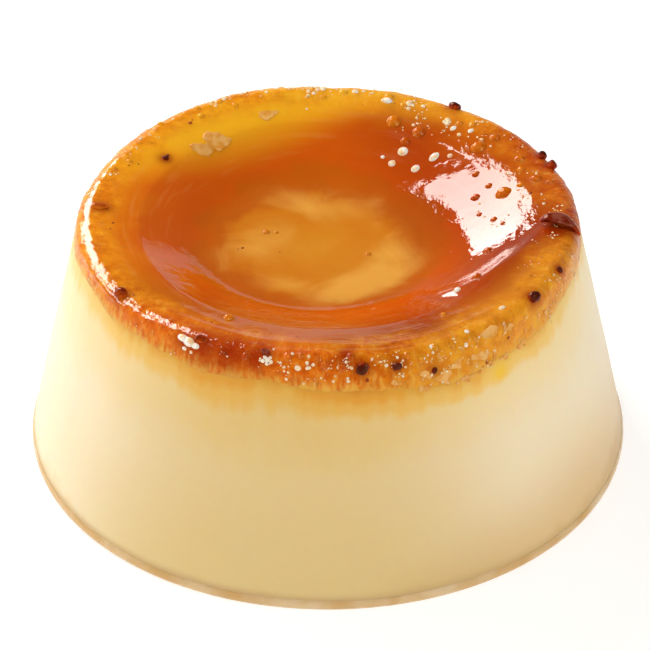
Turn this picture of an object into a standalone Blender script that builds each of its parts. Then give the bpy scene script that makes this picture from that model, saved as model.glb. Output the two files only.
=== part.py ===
"""Creme caramel, turned out of its mould and standing on its wide end.

Two solids: the baked custard, and the layer of set caramel that covers its dished top and the upper
edge of its side. Burnt sugar and blisters are fused to the caramel. Metres, +Z up, with the origin
at the centre of the flat underside. Azimuth 0 is +X and 90 degrees is the back, +Y.
"""

import math
import random

import bmesh
import bpy
from mathutils import Matrix, Vector, noise

MM = 0.001

# The turned-out shape
BASE_RADIUS = 40.0 * MM
CORNER_RADIUS = 32.4 * MM  # where the side would reach the rim's height with no rounding
RIM_HEIGHT = 33.8 * MM
FOOT_ROUND = 1.1 * MM
SHOULDER_ROUND = 1.8 * MM
TAPER = (BASE_RADIUS - CORNER_RADIUS) / RIM_HEIGHT  # how fast the side narrows with height
LEAN = math.degrees(math.atan(TAPER))

# The dished top, going inwards from the crest: a lip, a steeper wall and a nearly flat floor. Each
# bend is (distance where it starts, distance where it ends), and slopes are falls for a run of 1.
LIP_SLOPE = 0.22
WALL_SLOPE = 0.43
FLOOR_SLOPE = 0.04
LIP_BEND = (30.3 * MM, 29.0 * MM)
WALL_BEND = (25.2 * MM, 24.0 * MM)
FLOOR_BEND = (17.5 * MM, 12.5 * MM)
MIDDLE_BEND = (4.0 * MM, 0.0)
DISH_SHIFT = Vector((-1.7 * MM, 0.7 * MM, 0.0))  # the hollow is a little off centre

# The caramel layer, and the gap that keeps the two solids apart
FRINGE_HEIGHT = 30.3 * MM  # where the caramel ends on the side
SKIN = 0.8 * MM  # its thickness there
RIM_LAYER = 1.7 * MM  # its thickness under the crest
FLOOR_LAYER = 1.5 * MM  # its thickness in the middle
THICKENING = (12.5 * MM, 25.5 * MM)  # it thickens between these distances
GAP = 0.3 * MM

# Unevenness. Waves are (height, how many round the circle, phase in degrees), and pairs are the
# distances from the axis or the heights over which a movement of the even shape sets in or dies away.
RIM_WAVES = ((0.22 * MM, 3, 330.0), (0.16 * MM, 5, 240.0), (0.10 * MM, 11, 100.0))
FRINGE_WAVES = ((0.45 * MM, 2, 10.0), (0.20 * MM, 7, 15.0), (0.22 * MM, 13, 70.0))
RUN_AZIMUTH = 307.0  # here the caramel has run lower down the side
RUN_WIDTH = 24.0
RUN_LENGTH = 1.5 * MM
CRAG_HEIGHT = 0.32 * MM  # of the browned crags on the shoulder and the fringe
CRAG_GRAIN = 3.4 * MM
CRAGS_FROM = (28.0 * MM, 31.0 * MM)  # distances over which the crags set in on the crest
CREST_BAND = 1.2 * MM  # the crest's crags end this far below the rim's height
DISH_MOVES_ABOVE = (20.0 * MM, 24.0 * MM)
DISH_MOVES_WITHIN = (10.0 * MM, 29.0 * MM)
WAVES_BEYOND = (19.0 * MM, 30.0 * MM)
WAVES_ABOVE = (28.5 * MM, 31.5 * MM)
SLIDE_ABOVE = (24.0 * MM, 29.0 * MM)
SLIDE_BELOW = (30.4 * MM, 33.4 * MM)
SLIDE_BEYOND = (30.0 * MM, 31.5 * MM)

# Burnt sugar: azimuth, place outward over the surface, length, width, height, turn from the outward
# direction, how craggy it is, and how far its ends curl up, or down where it is an arch
BURNT_BITS = (
    (353.0, 30.2 * MM, 5.2 * MM, 2.4 * MM, 2.3 * MM, -15.0, 0.45, -0.9 * MM),
    (57.0, 31.6 * MM, 2.6 * MM, 2.0 * MM, 1.9 * MM, 80.0, 0.25, 0.0),
    (26.5, 31.8 * MM, 1.9 * MM, 1.7 * MM, 2.1 * MM, 20.0, 0.35, 0.0),
    (22.0, 32.0 * MM, 2.4 * MM, 1.4 * MM, 1.7 * MM, 65.0, 1.1, 0.5 * MM),
    (324.0, 32.0 * MM, 2.6 * MM, 1.9 * MM, 1.5 * MM, 95.0, 0.35, 0.0),
    (336.0, 32.2 * MM, 1.3 * MM, 1.1 * MM, 0.9 * MM, 0.0, 0.3, 0.0),
    (277.5, 33.1 * MM, 1.9 * MM, 2.5 * MM, 1.4 * MM, 30.0, 0.9, 0.0),
    (285.0, 33.1 * MM, 1.7 * MM, 1.3 * MM, 1.2 * MM, 100.0, 0.5, 0.0),
    (293.5, 33.5 * MM, 1.1 * MM, 1.0 * MM, 0.8 * MM, 0.0, 0.5, 0.0),
    (256.0, 31.7 * MM, 1.8 * MM, 1.2 * MM, 0.9 * MM, 70.0, 0.6, 0.0),
    (240.5, 32.0 * MM, 2.6 * MM, 1.5 * MM, 0.8 * MM, 85.0, 0.8, 0.0),
    (214.5, 31.6 * MM, 2.3 * MM, 2.1 * MM, 2.2 * MM, 0.0, 0.1, 0.0),
    (176.5, 29.8 * MM, 3.2 * MM, 1.7 * MM, 1.0 * MM, 10.0, 0.6, 0.0),
    (146.0, 26.0 * MM, 1.3 * MM, 0.9 * MM, 0.8 * MM, 40.0, 0.6, 0.0),
)
BITS_SUNK = 0.35  # the share of a bit's height that lies in the caramel
BIT_GRAIN = 2.3  # crags along a bit, whatever its size
LARGE_BIT = 4.0 * MM  # longer ones have more faces

# Blisters: how many, first and last azimuth, nearest and farthest place, least and most width
BLISTER_FIELDS = (
    (18, 12.0, 75.0, 21.5 * MM, 30.5 * MM, 1.2 * MM, 2.5 * MM),
    (10, 80.0, 160.0, 29.0 * MM, 31.5 * MM, 1.0 * MM, 1.9 * MM),
    (12, 250.0, 305.0, 31.8 * MM, 33.4 * MM, 0.9 * MM, 1.4 * MM),
)
BLISTER_RISE = 0.75  # height as a share of the width
BLISTERS_SUNK = 0.6
FINE_BLISTER = 1.3 * MM  # narrower ones have fewer faces
BLISTER_GAP = 0.4 * MM

# Fineness
TURN_STEPS = 76
SHOULDER_STEPS = 5
FOOT_STEPS = 4
DISH_RINGS = 19
HIDDEN_RINGS = 9  # where the two solids face each other
SIDE_RINGS = 5
SIDE_FOOT = 5.0 * MM  # the lowest of the side's rings
FIRST_RING = 1.0 * MM  # inside the crest
NEARBY = 0.2 * MM  # the step that finds how the surface slopes
SEED = 11


def clear_scene():
    for obj in list(bpy.data.objects):
        bpy.data.objects.remove(obj)


def material(name, colour, roughness):
    made = bpy.data.materials.new(name)
    made.use_nodes = True
    shader = made.node_tree.nodes["Principled BSDF"]
    shader.inputs["Base Color"].default_value = (*colour, 1.0)
    shader.inputs["Roughness"].default_value = roughness
    shader.inputs["Metallic"].default_value = 0.0
    return made


def smooth(low, high, value):
    """0 up to low, 1 from high, and an S between them."""
    share = min(1.0, max(0.0, (value - low) / (high - low)))
    return share * share * (3.0 - 2.0 * share)


def spread(first, last, count):
    return [first + (last - first) * i / (count - 1) for i in range(count)]


def arc(centre, radius, first, last, steps):
    """Points of a round corner in the (distance, height) plane, with the angles in degrees."""
    turns = [math.radians(angle) for angle in spread(first, last, steps + 1)]
    return [(centre[0] + radius * math.cos(t), centre[1] + radius * math.sin(t)) for t in turns]


def side_radius(height):
    return BASE_RADIUS - TAPER * height


CREST_RADIUS = side_radius(RIM_HEIGHT - SHOULDER_ROUND) - SHOULDER_ROUND
SHOULDER_CENTRE = (CREST_RADIUS, RIM_HEIGHT - SHOULDER_ROUND)


def run_past(bend, distance):
    """How far inwards of a bend a distance lies, counted slowly at first, so that the bend is round."""
    start, end = bend
    share = min(1.0, max(0.0, (start - distance) / (start - end)))
    return (start - end) * (share**3 - 0.5 * share**4) + max(0.0, end - distance)


def dish_height(distance):
    """Height of the caramel's upper face inside the crest."""
    fall = LIP_SLOPE * run_past(LIP_BEND, distance)
    fall += (WALL_SLOPE - LIP_SLOPE) * run_past(WALL_BEND, distance)
    fall -= (WALL_SLOPE - FLOOR_SLOPE) * run_past(FLOOR_BEND, distance)
    fall -= FLOOR_SLOPE * run_past(MIDDLE_BEND, distance)
    return RIM_HEIGHT - fall


def layer_depth(distance):
    """The caramel's thickness under its upper face."""
    return FLOOR_LAYER + (RIM_LAYER - FLOOR_LAYER) * smooth(*THICKENING, distance)


def caramel_outline():
    """Round the caramel's section: up its outer skin, down into the dish, and back underneath."""
    half_up = 0.5 * (FRINGE_HEIGHT + SHOULDER_CENTRE[1])
    outer_skin = [(side_radius(z), z) for z in (FRINGE_HEIGHT, half_up)]
    shoulder = arc(SHOULDER_CENTRE, SHOULDER_ROUND, LEAN, 90.0, SHOULDER_STEPS)
    first = CREST_RADIUS - FIRST_RING
    dish = [(r, dish_height(r)) for r in spread(first, 0.0, DISH_RINGS)]
    under = [(r, dish_height(r) - layer_depth(r)) for r in spread(0.0, first, HIDDEN_RINGS)]
    inner_foot = (side_radius(FRINGE_HEIGHT) - SKIN, FRINGE_HEIGHT)
    return outer_skin + shoulder + dish + under + [inner_foot]


def custard_outline():
    """Up the custard's side, in below the caramel's fringe, and over its top."""
    foot_centre = (BASE_RADIUS - FOOT_ROUND * (1.0 + TAPER), FOOT_ROUND)
    foot = arc(foot_centre, FOOT_ROUND, -90.0, LEAN, FOOT_STEPS)
    ledge = FRINGE_HEIGHT - GAP
    side = [(side_radius(z), z) for z in spread(SIDE_FOOT, ledge, SIDE_RINGS)]
    neck = (side_radius(ledge) - SKIN - GAP, ledge)
    top_edge = CREST_RADIUS - FIRST_RING - GAP
    top = [(r, dish_height(r) - layer_depth(r) - GAP) for r in spread(top_edge, 0.0, HIDDEN_RINGS)]
    return [(0.0, 0.0)] + foot + side + [neck] + top


def waves(terms, azimuth):
    return sum(height * math.cos(n * azimuth - math.radians(phase)) for height, n, phase in terms)


def fringe_slide(azimuth):
    """How far the caramel's lower edge lies above its mean height."""
    off_run = math.degrees(azimuth) % 360.0 - RUN_AZIMUTH
    return waves(FRINGE_WAVES, azimuth) - RUN_LENGTH * math.exp(-((off_run / RUN_WIDTH) ** 2))


def settle(point):
    """Moves a point of the even shape to its place in the uneven one.

    Facing surfaces of the two solids move alike, so the gap between them stays.
    """
    distance = math.hypot(point.x, point.y)
    shift = DISH_SHIFT * smooth(*DISH_MOVES_ABOVE, point.z)
    shift *= 1.0 - smooth(*DISH_MOVES_WITHIN, distance)
    if distance < 1e-9:
        return point + shift
    azimuth = math.atan2(point.y, point.x)
    lift = waves(RIM_WAVES, azimuth)
    lift *= smooth(*WAVES_BEYOND, distance) * smooth(*WAVES_ABOVE, point.z)
    slide = fringe_slide(azimuth) * smooth(*SLIDE_BEYOND, distance)
    slide *= smooth(*SLIDE_ABOVE, point.z) * (1.0 - smooth(*SLIDE_BELOW, point.z))
    outward = Vector((point.x, point.y, 0.0)) / distance
    return point + Vector((0.0, 0.0, lift + slide)) - outward * TAPER * slide + shift


def turned(name, outline, collection, finish):
    """A solid of revolution from an outline, made with a Screw modifier and then settled."""
    mesh = bpy.data.meshes.new(name)
    meets_axis = outline[0][0] == 0.0
    edges = [(i, i + 1) for i in range(len(outline) - 1)]
    if not meets_axis:
        edges.append((len(outline) - 1, 0))
    mesh.from_pydata([(r, 0.0, z) for r, z in outline], edges, [])
    obj = bpy.data.objects.new(name, mesh)
    collection.objects.link(obj)
    screw = obj.modifiers.new("turn", "SCREW")
    screw.axis = "Z"
    screw.steps = TURN_STEPS
    screw.render_steps = TURN_STEPS
    screw.use_merge_vertices = True
    screw.merge_threshold = 0.01 * MM
    graph = bpy.context.evaluated_depsgraph_get()
    obj.data = bpy.data.meshes.new_from_object(obj.evaluated_get(graph))
    obj.modifiers.clear()
    shape = bmesh.new()
    shape.from_mesh(obj.data)
    bmesh.ops.remove_doubles(shape, verts=shape.verts, dist=0.001 * MM)
    for vertex in shape.verts:
        vertex.co = settle(vertex.co)
    bmesh.ops.recalc_face_normals(shape, faces=shape.faces)
    if shape.calc_volume(signed=True) < 0.0:
        bmesh.ops.reverse_faces(shape, faces=shape.faces)
    shape.to_mesh(obj.data)
    shape.free()
    obj.data.materials.clear()
    obj.data.materials.append(finish)
    obj.data.shade_smooth()
    obj.data.set_sharp_from_angle(angle=math.radians(40.0))
    return obj


def roughen(caramel):
    """Crags on the shoulder and the fringe, where the caramel has browned and dried."""
    mesh = caramel.data
    normals = [vertex.normal.copy() for vertex in mesh.vertices]
    for vertex, normal in zip(mesh.vertices, normals):
        distance = math.hypot(vertex.co.x, vertex.co.y)
        on_skin = distance > side_radius(vertex.co.z) - 0.5 * SKIN
        on_crest = vertex.co.z > RIM_HEIGHT - CREST_BAND and normal.z > 0.0
        if not (on_skin or on_crest):
            continue
        share = 1.0 if on_skin else smooth(*CRAGS_FROM, distance)
        normal.z = max(normal.z, 0.0)
        crag = noise.fractal(vertex.co / CRAG_GRAIN, 0.8, 2.0, 3)
        vertex.co += normal * CRAG_HEIGHT * share * crag


def even_face_point(azimuth, place):
    """A point of the even upper face. Past the crest, place runs over the shoulder and down."""
    past = place - CREST_RADIUS
    shoulder_length = SHOULDER_ROUND * math.radians(90.0 - LEAN)
    if past <= 0.0:
        distance, height = place, dish_height(place)
    elif past < shoulder_length:
        turn = past / SHOULDER_ROUND
        distance = CREST_RADIUS + SHOULDER_ROUND * math.sin(turn)
        height = SHOULDER_CENTRE[1] + SHOULDER_ROUND * math.cos(turn)
    else:
        height = SHOULDER_CENTRE[1] - (past - shoulder_length)
        distance = side_radius(height)
    return Vector((distance * math.cos(azimuth), distance * math.sin(azimuth), height))


def seat(azimuth, place):
    """Where a bit sits on the upper face, and the turn that lays it flat, outward first."""
    turn = math.radians(azimuth)
    here = settle(even_face_point(turn, place))
    outward = (settle(even_face_point(turn, place + NEARBY)) - here).normalized()
    around = (settle(even_face_point(turn + NEARBY / place, place)) - here).normalized()
    normal = outward.cross(around).normalized()
    around = normal.cross(outward)
    return here, Matrix((outward, around, normal)).transposed()


def lump(name, azimuth, place, size, sunk, collection, turn=0.0, crags=0.0, curl=0.0, detail=2):
    """A bead or flake of the given length, width and height, set into the upper face."""
    here, upright = seat(azimuth, place)
    shape = bmesh.new()
    bmesh.ops.create_icosphere(shape, subdivisions=detail, radius=0.5)
    for vertex in shape.verts:
        around = vertex.co * BIT_GRAIN + Vector((azimuth, place / MM, 0.0))
        along = 2.0 * vertex.co.x
        vertex.co *= 1.0 + crags * noise.noise(around)
        vertex.co = Vector((vertex.co.x * size[0], vertex.co.y * size[1], vertex.co.z * size[2]))
        vertex.co.z += curl * along * along
        vertex.co.z += size[2] * (0.5 - sunk)
    shape.transform(Matrix.Rotation(math.radians(turn), 4, "Z"))
    shape.transform(Matrix.Translation(here) @ upright.to_4x4())
    mesh = bpy.data.meshes.new(name)
    shape.to_mesh(mesh)
    shape.free()
    collection.objects.link(bpy.data.objects.new(name, mesh))
    return here


def add_burnt_bits(collection):
    taken = []
    for azimuth, place, length, width, height, turn, crags, curl in BURNT_BITS:
        size = (length, width, height)
        detail = 3 if length > LARGE_BIT else 2
        name = f"burnt_{len(taken)}"
        here = lump(name, azimuth, place, size, BITS_SUNK, collection, turn, crags, curl, detail)
        taken.append((here, length))
    return taken


def add_blisters(collection, taken):
    """Blisters in each field, each clear of what is already there."""
    chance = random.Random(SEED)
    for count, first, last, near, far, least, most in BLISTER_FIELDS:
        placed = 0
        while placed < count:
            azimuth = chance.uniform(first, last)
            place = chance.uniform(near, far)
            width = least + (most - least) * chance.random() ** 2
            breadth = width * chance.uniform(0.8, 1.0)
            here, _ = seat(azimuth, place)
            if any((here - spot).length < 0.5 * (width + size) + BLISTER_GAP for spot, size in taken):
                continue
            size = (width, breadth, width * BLISTER_RISE)
            detail = 2 if width > FINE_BLISTER else 1
            name = f"blister_{len(taken)}"
            lump(name, azimuth, place, size, BLISTERS_SUNK, collection, detail=detail)
            taken.append((here, width))
            placed += 1


def fuse(obj, pieces):
    """One union of obj with every object of the collection, which is then removed."""
    union = obj.modifiers.new("fuse", "BOOLEAN")
    union.operation = "UNION"
    union.operand_type = "COLLECTION"
    union.collection = pieces
    union.solver = "EXACT"
    graph = bpy.context.evaluated_depsgraph_get()
    joined = bpy.data.meshes.new_from_object(obj.evaluated_get(graph))
    obj.modifiers.clear()
    obj.data = joined
    for piece in list(pieces.objects):
        bpy.data.objects.remove(piece)
    bpy.data.collections.remove(pieces)


def build():
    clear_scene()
    dessert = bpy.data.collections.new("creme_caramel")
    bpy.context.scene.collection.children.link(dessert)
    custard_finish = material("baked_custard", (0.83, 0.66, 0.36), 0.45)
    caramel_finish = material("set_caramel", (0.68, 0.20, 0.015), 0.15)
    turned("custard", custard_outline(), dessert, custard_finish)
    caramel = turned("caramel_layer", caramel_outline(), dessert, caramel_finish)
    roughen(caramel)
    sugar = bpy.data.collections.new("burnt_sugar")
    bpy.context.scene.collection.children.link(sugar)
    taken = add_burnt_bits(sugar)
    add_blisters(sugar, taken)
    fuse(caramel, sugar)


build()
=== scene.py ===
# %% [markdown]
# # A creme caramel, dressed
#
# A creme caramel is an egg custard that is baked on a layer of burnt sugar and then turned out, so
# the caramel ends up on top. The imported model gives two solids: the custard, and the caramel layer
# that covers its dished top. This lesson replaces both with finer pieces in the same place, adds the
# small things that cling to them, and gives each one its real finish. First the frame is loaded.

# %% Load the frame
import math
import random

import bpy
import numpy as np
from mathutils import Matrix, Vector


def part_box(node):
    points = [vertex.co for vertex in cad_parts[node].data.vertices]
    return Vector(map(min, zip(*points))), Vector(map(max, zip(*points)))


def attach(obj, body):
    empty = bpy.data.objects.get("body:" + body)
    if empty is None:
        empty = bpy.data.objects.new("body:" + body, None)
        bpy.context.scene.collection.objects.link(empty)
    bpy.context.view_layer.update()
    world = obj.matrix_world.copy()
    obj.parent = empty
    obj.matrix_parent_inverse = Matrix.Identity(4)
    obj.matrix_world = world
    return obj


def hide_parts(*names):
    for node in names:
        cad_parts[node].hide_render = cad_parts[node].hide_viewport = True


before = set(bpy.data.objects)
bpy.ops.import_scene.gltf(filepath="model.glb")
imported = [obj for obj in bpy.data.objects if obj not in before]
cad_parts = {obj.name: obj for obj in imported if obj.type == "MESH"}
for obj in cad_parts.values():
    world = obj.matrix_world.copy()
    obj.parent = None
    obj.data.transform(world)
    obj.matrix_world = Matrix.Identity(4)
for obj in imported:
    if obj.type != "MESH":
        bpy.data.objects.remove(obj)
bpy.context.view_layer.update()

custard_low, custard_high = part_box("custard")
caramel_low, caramel_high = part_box("caramel_layer")
print("custard box:", custard_low, custard_high)
print("caramel box:", caramel_low, caramel_high)

# %% [markdown]
# ## Driving sizes
#
# The dessert is a turned shape that has settled unevenly. Its width comes from the frame. The other
# sizes are those that the solids were worked out from, so that each new skin lies on its solid.

# %% Sizes of the turned-out shape
MM = 0.001
FOOT_ROUND = 1.1 * MM
RIM_HEIGHT = 33.8 * MM
SHOULDER_ROUND = 1.8 * MM
TAPER = 7.6 / 33.8  # how fast the side narrows with height
LEAN = math.atan(TAPER)
half_width = 0.5 * (custard_high[0] - custard_low[0])
base_radius = half_width + FOOT_ROUND * (1.0 + TAPER - 1.0 / math.cos(LEAN))
crest_radius = base_radius - TAPER * (RIM_HEIGHT - SHOULDER_ROUND) - SHOULDER_ROUND
FRINGE_HEIGHT = 30.3 * MM  # where the caramel ends on the side
RIM_LAYER, FLOOR_LAYER = 1.7 * MM, 1.5 * MM
THICKENING = (12.5 * MM, 25.5 * MM)
print(f"base radius {base_radius / MM:.2f} mm, crest radius {crest_radius / MM:.2f} mm")


# %% [markdown]
# ## The settled form
#
# Two functions hold the whole form. The first is the height of the dished top at each distance from
# the axis: a lip, a steeper wall and a nearly flat floor, with round bends between them. The second
# moves a point of the even form to its place in the uneven one, with low waves round the rim and a
# caramel edge that hangs lower at one place. Formulas are used here, since every piece has to lie on
# the same surface.

# %% The dished top
LIP_SLOPE, WALL_SLOPE, FLOOR_SLOPE = 0.22, 0.43, 0.04
LIP_BEND = (30.3 * MM, 29.0 * MM)
WALL_BEND = (25.2 * MM, 24.0 * MM)
FLOOR_BEND = (17.5 * MM, 12.5 * MM)
MIDDLE_BEND = (4.0 * MM, 0.0)


def smooth(low, high, value):
    """0 up to low, 1 from high, and an S between them."""
    share = np.clip((value - low) / (high - low), 0.0, 1.0)
    return share * share * (3.0 - 2.0 * share)


def side_radius(height):
    return base_radius - TAPER * height


def run_past(bend, distance):
    """How far inwards of a bend a distance lies, counted slowly at first, so that the bend is round."""
    start, end = bend
    share = np.clip((start - distance) / (start - end), 0.0, 1.0)
    return (start - end) * (share**3 - 0.5 * share**4) + np.maximum(0.0, end - distance)


def dish_height(distance):
    fall = LIP_SLOPE * run_past(LIP_BEND, distance)
    fall += (WALL_SLOPE - LIP_SLOPE) * run_past(WALL_BEND, distance)
    fall -= (WALL_SLOPE - FLOOR_SLOPE) * run_past(FLOOR_BEND, distance)
    fall -= FLOOR_SLOPE * run_past(MIDDLE_BEND, distance)
    return RIM_HEIGHT - fall


def layer_depth(distance):
    return FLOOR_LAYER + (RIM_LAYER - FLOOR_LAYER) * smooth(*THICKENING, distance)


print(f"floor of the dish at {dish_height(0.0) / MM:.1f} mm, crest at {RIM_HEIGHT / MM:.1f} mm")

# %% Its unevenness
# Height, how many round the axis, phase in degrees
RIM_WAVES = ((0.22 * MM, 3, 330.0), (0.16 * MM, 5, 240.0), (0.10 * MM, 11, 100.0))
FRINGE_WAVES = ((0.45 * MM, 2, 10.0), (0.20 * MM, 7, 15.0), (0.22 * MM, 13, 70.0))
RUN_AZIMUTH, RUN_WIDTH, RUN_LENGTH = 307.0, 24.0, 1.5 * MM  # here the caramel has run lower
DISH_SHIFT = (-1.7 * MM, 0.7 * MM)  # the hollow is a little off centre
# Heights and distances from the axis at which each kind starts and is full
DISH_MOVES_ABOVE, DISH_MOVES_WITHIN = (20.0 * MM, 24.0 * MM), (10.0 * MM, 29.0 * MM)
WAVES_BEYOND, WAVES_ABOVE = (19.0 * MM, 30.0 * MM), (28.5 * MM, 31.5 * MM)
SLIDE_BEYOND, SLIDE_ABOVE = (30.0 * MM, 31.5 * MM), (24.0 * MM, 29.0 * MM)
SLIDE_BELOW = (30.4 * MM, 33.4 * MM)


def waves(terms, azimuth):
    """The sum of the waves at an azimuth in radians."""
    return sum(h * np.cos(n * azimuth - math.radians(phase)) for h, n, phase in terms)


def degrees_off(azimuth, centre):
    """How many degrees an azimuth in radians lies off a centre in degrees, from -180 to 180."""
    return (np.degrees(azimuth) - centre + 180.0) % 360.0 - 180.0


def hill(value, width):
    """1 at nothing, falling off smoothly on both sides over the width."""
    return np.exp(-((value / width) ** 2))


def fringe_slide(azimuth):
    """How far up the side the caramel's edge lies from its even height."""
    off_run = np.degrees(azimuth) % 360.0 - RUN_AZIMUTH
    return waves(FRINGE_WAVES, azimuth) - RUN_LENGTH * hill(off_run, RUN_WIDTH)


def settle(points):
    """Moves points of the even form, one in each row, to their places in the uneven one."""
    x, y, z = points[:, 0], points[:, 1], points[:, 2]
    distance = np.maximum(np.hypot(x, y), 1e-9)
    azimuth = np.arctan2(y, x)
    shift = smooth(*DISH_MOVES_ABOVE, z) * (1.0 - smooth(*DISH_MOVES_WITHIN, distance))
    lift = waves(RIM_WAVES, azimuth) * smooth(*WAVES_BEYOND, distance)
    lift = lift * smooth(*WAVES_ABOVE, z)
    slide = fringe_slide(azimuth) * smooth(*SLIDE_ABOVE, z)
    slide = slide * smooth(*SLIDE_BEYOND, distance) * (1.0 - smooth(*SLIDE_BELOW, z))
    inward = TAPER * slide / distance
    moved = np.empty_like(points)
    moved[:, 0] = x + DISH_SHIFT[0] * shift - x * inward
    moved[:, 1] = y + DISH_SHIFT[1] * shift - y * inward
    moved[:, 2] = z + lift + slide
    return moved


all_round = np.radians(np.arange(0.0, 360.0, 2.0))
edge_slides = fringe_slide(all_round)
print(f"the caramel's edge lies {-edge_slides.min() / MM:.1f} mm lower at the lowest")

# %% [markdown]
# Up to here the form is the solids' own. Liquid caramel has a finer one on top of it, and the light
# on a wet surface shows every tenth of a millimetre. At the right the wall sags a little, so that it
# mirrors one broad patch of light, and a soft fold climbs from it to the lip. Finer folds run along
# the lip, where its skin has wrinkled. On the left the lip has sunk and the wet shoulder is drawn
# flat, so that one long bright line lies along its edge.

# %% The wet surface
# Depth, where it starts, where it ends, azimuth, width in degrees
SAG = (0.50 * MM, (14.4 * MM, 19.7 * MM), (23.1 * MM, 28.4 * MM), 20.0, 38.5)
LOW_LIP = (0.42 * MM, (23.0 * MM, 31.0 * MM), (31.2 * MM, 32.9 * MM), 218.0, 27.0)
DIP = (0.19 * MM, 21.2 * MM, 3.9 * MM, 339.0, 50.0)  # depth, place, half width, azimuth, width in degrees
# First azimuth and place, last azimuth and place, half width, height
FOLDS = (
    (314.0, 21.4 * MM, 358.0, 29.4 * MM, 1.90 * MM, 0.50 * MM),
    (300.0, 26.4 * MM, 341.0, 30.2 * MM, 0.50 * MM, 0.06 * MM),
    (232.0, 29.0 * MM, 318.0, 29.6 * MM, 0.45 * MM, 0.05 * MM),
    (196.0, 26.2 * MM, 246.0, 27.6 * MM, 0.60 * MM, 0.05 * MM),
)
# First azimuth and place, last azimuth and place, half width, depth
WET_FLAT = ((165.0, 31.65 * MM), (240.0, 32.95 * MM), 0.55 * MM, 0.05 * MM)
UPPER_SKIN = 0.4 * MM  # what lies no deeper than this below the dish belongs to the upper face


def wet_relief(place, azimuth):
    """How far the wet surface stands above the even dish."""
    relief = 0.0
    for depth, near, far, centre, width in (SAG, LOW_LIP):
        sunk = depth * smooth(*near, place) * (1.0 - smooth(*far, place))
        relief = relief - sunk * hill(degrees_off(azimuth, centre), width)
    depth, middle, breadth, centre, width = DIP
    relief = relief - depth * hill(place - middle, breadth) * hill(degrees_off(azimuth, centre), width)
    for first, near, last, far, width, height in FOLDS:
        share = (np.degrees(azimuth) % 360.0 - first) / (last - first)
        along = smooth(-0.1, 0.15, share) * (1.0 - smooth(0.85, 1.1, share))
        relief = relief + height * along * hill(place - (near + (far - near) * share), width)
    return relief


def flatten_shoulder(points, place, azimuth):
    """Draws the wet shoulder flat on the left, at the place where it faces the light."""
    (first, near), (last, far), width, depth = WET_FLAT
    share = (np.degrees(azimuth) % 360.0 - first) / (last - first)
    along = smooth(-0.15, 0.1, share) * (1.0 - smooth(0.95, 1.1, share))
    centre = near + (far - near) * share
    inward = depth * along * hill(place - centre, width)
    turn = (centre - crest_radius) / SHOULDER_ROUND
    points[:, 0] -= inward * np.sin(turn) * np.cos(azimuth)
    points[:, 1] -= inward * np.sin(turn) * np.sin(azimuth)
    points[:, 2] -= inward * np.cos(turn)


def settle_wet(points):
    """Like settle, with the relief of the wet surface on what lies on the upper face."""
    distance = np.hypot(points[:, 0], points[:, 1])
    upper = (points[:, 2] > dish_height(distance) - UPPER_SKIN) | (distance > crest_radius)
    moved = settle(points)
    place = place_of(distance, points[:, 2])
    moved[:, 2] += upper * wet_relief(place, np.arctan2(points[:, 1], points[:, 0]))
    return moved


reliefs = [wet_relief(place * MM, all_round) for place in range(10, 33)]
print(f"wet relief from {np.min(reliefs) / MM:.2f} to {np.max(reliefs) / MM:.2f} mm")

# %% Where a bit sits
NEARBY = 0.2 * MM  # the step that finds how the surface slopes


def even_face_point(azimuth, place):
    """A point of the even upper face. Past the crest, place runs over the shoulder and down."""
    past = place - crest_radius
    shoulder_length = SHOULDER_ROUND * (0.5 * math.pi - LEAN)
    if past <= 0.0:
        distance, height = place, float(dish_height(place))
    elif past < shoulder_length:
        turn = past / SHOULDER_ROUND
        distance = crest_radius + SHOULDER_ROUND * math.sin(turn)
        height = RIM_HEIGHT - SHOULDER_ROUND * (1.0 - math.cos(turn))
    else:
        height = RIM_HEIGHT - SHOULDER_ROUND - (past - shoulder_length)
        distance = side_radius(height)
    return (distance * math.cos(azimuth), distance * math.sin(azimuth), height)


def place_of(distance, height):
    """The place of points of the even upper face: the distance up to the crest, then the way down."""
    turn = np.arctan2(distance - crest_radius, height - (RIM_HEIGHT - SHOULDER_ROUND))
    shoulder = crest_radius + SHOULDER_ROUND * np.minimum(turn, 0.5 * math.pi - LEAN)
    skirt = np.maximum(0.0, RIM_HEIGHT - SHOULDER_ROUND * (1.0 - math.sin(LEAN)) - height)
    return np.where(distance < crest_radius, distance, shoulder + skirt * (turn > 0.5 * math.pi - LEAN))


def seat(azimuth, place):
    """The matrix that lays a bit flat on the upper face, with its X outward and its Z off the face."""
    turn = math.radians(azimuth)
    spots = [(turn, place), (turn, place + NEARBY), (turn + NEARBY / place, place)]
    here, out, beside = (Vector(p) for p in settle_wet(np.array([even_face_point(*s) for s in spots])))
    outward = (out - here).normalized()
    normal = outward.cross(beside - here).normalized()
    upright = Matrix((outward, normal.cross(outward), normal)).transposed()
    return Matrix.Translation(here) @ upright.to_4x4()


def solid_spot(azimuth, place):
    """Where that place lies on the solid, without the relief of the wet surface."""
    return Vector(settle(np.array([even_face_point(math.radians(azimuth), place)]))[0])


crest_seat = seat(270.0, crest_radius).translation
print("a bit on the crest at the front sits at", [round(part / MM, 1) for part in crest_seat])

# %% [markdown]
# ## The camera and the studio
#
# The dessert is seen from 35 degrees above, with a long lens, and it stands on a white sweep. A few
# helpers for colours and nodes come with it, because the lights, the sweep and every finish use them.

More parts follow.
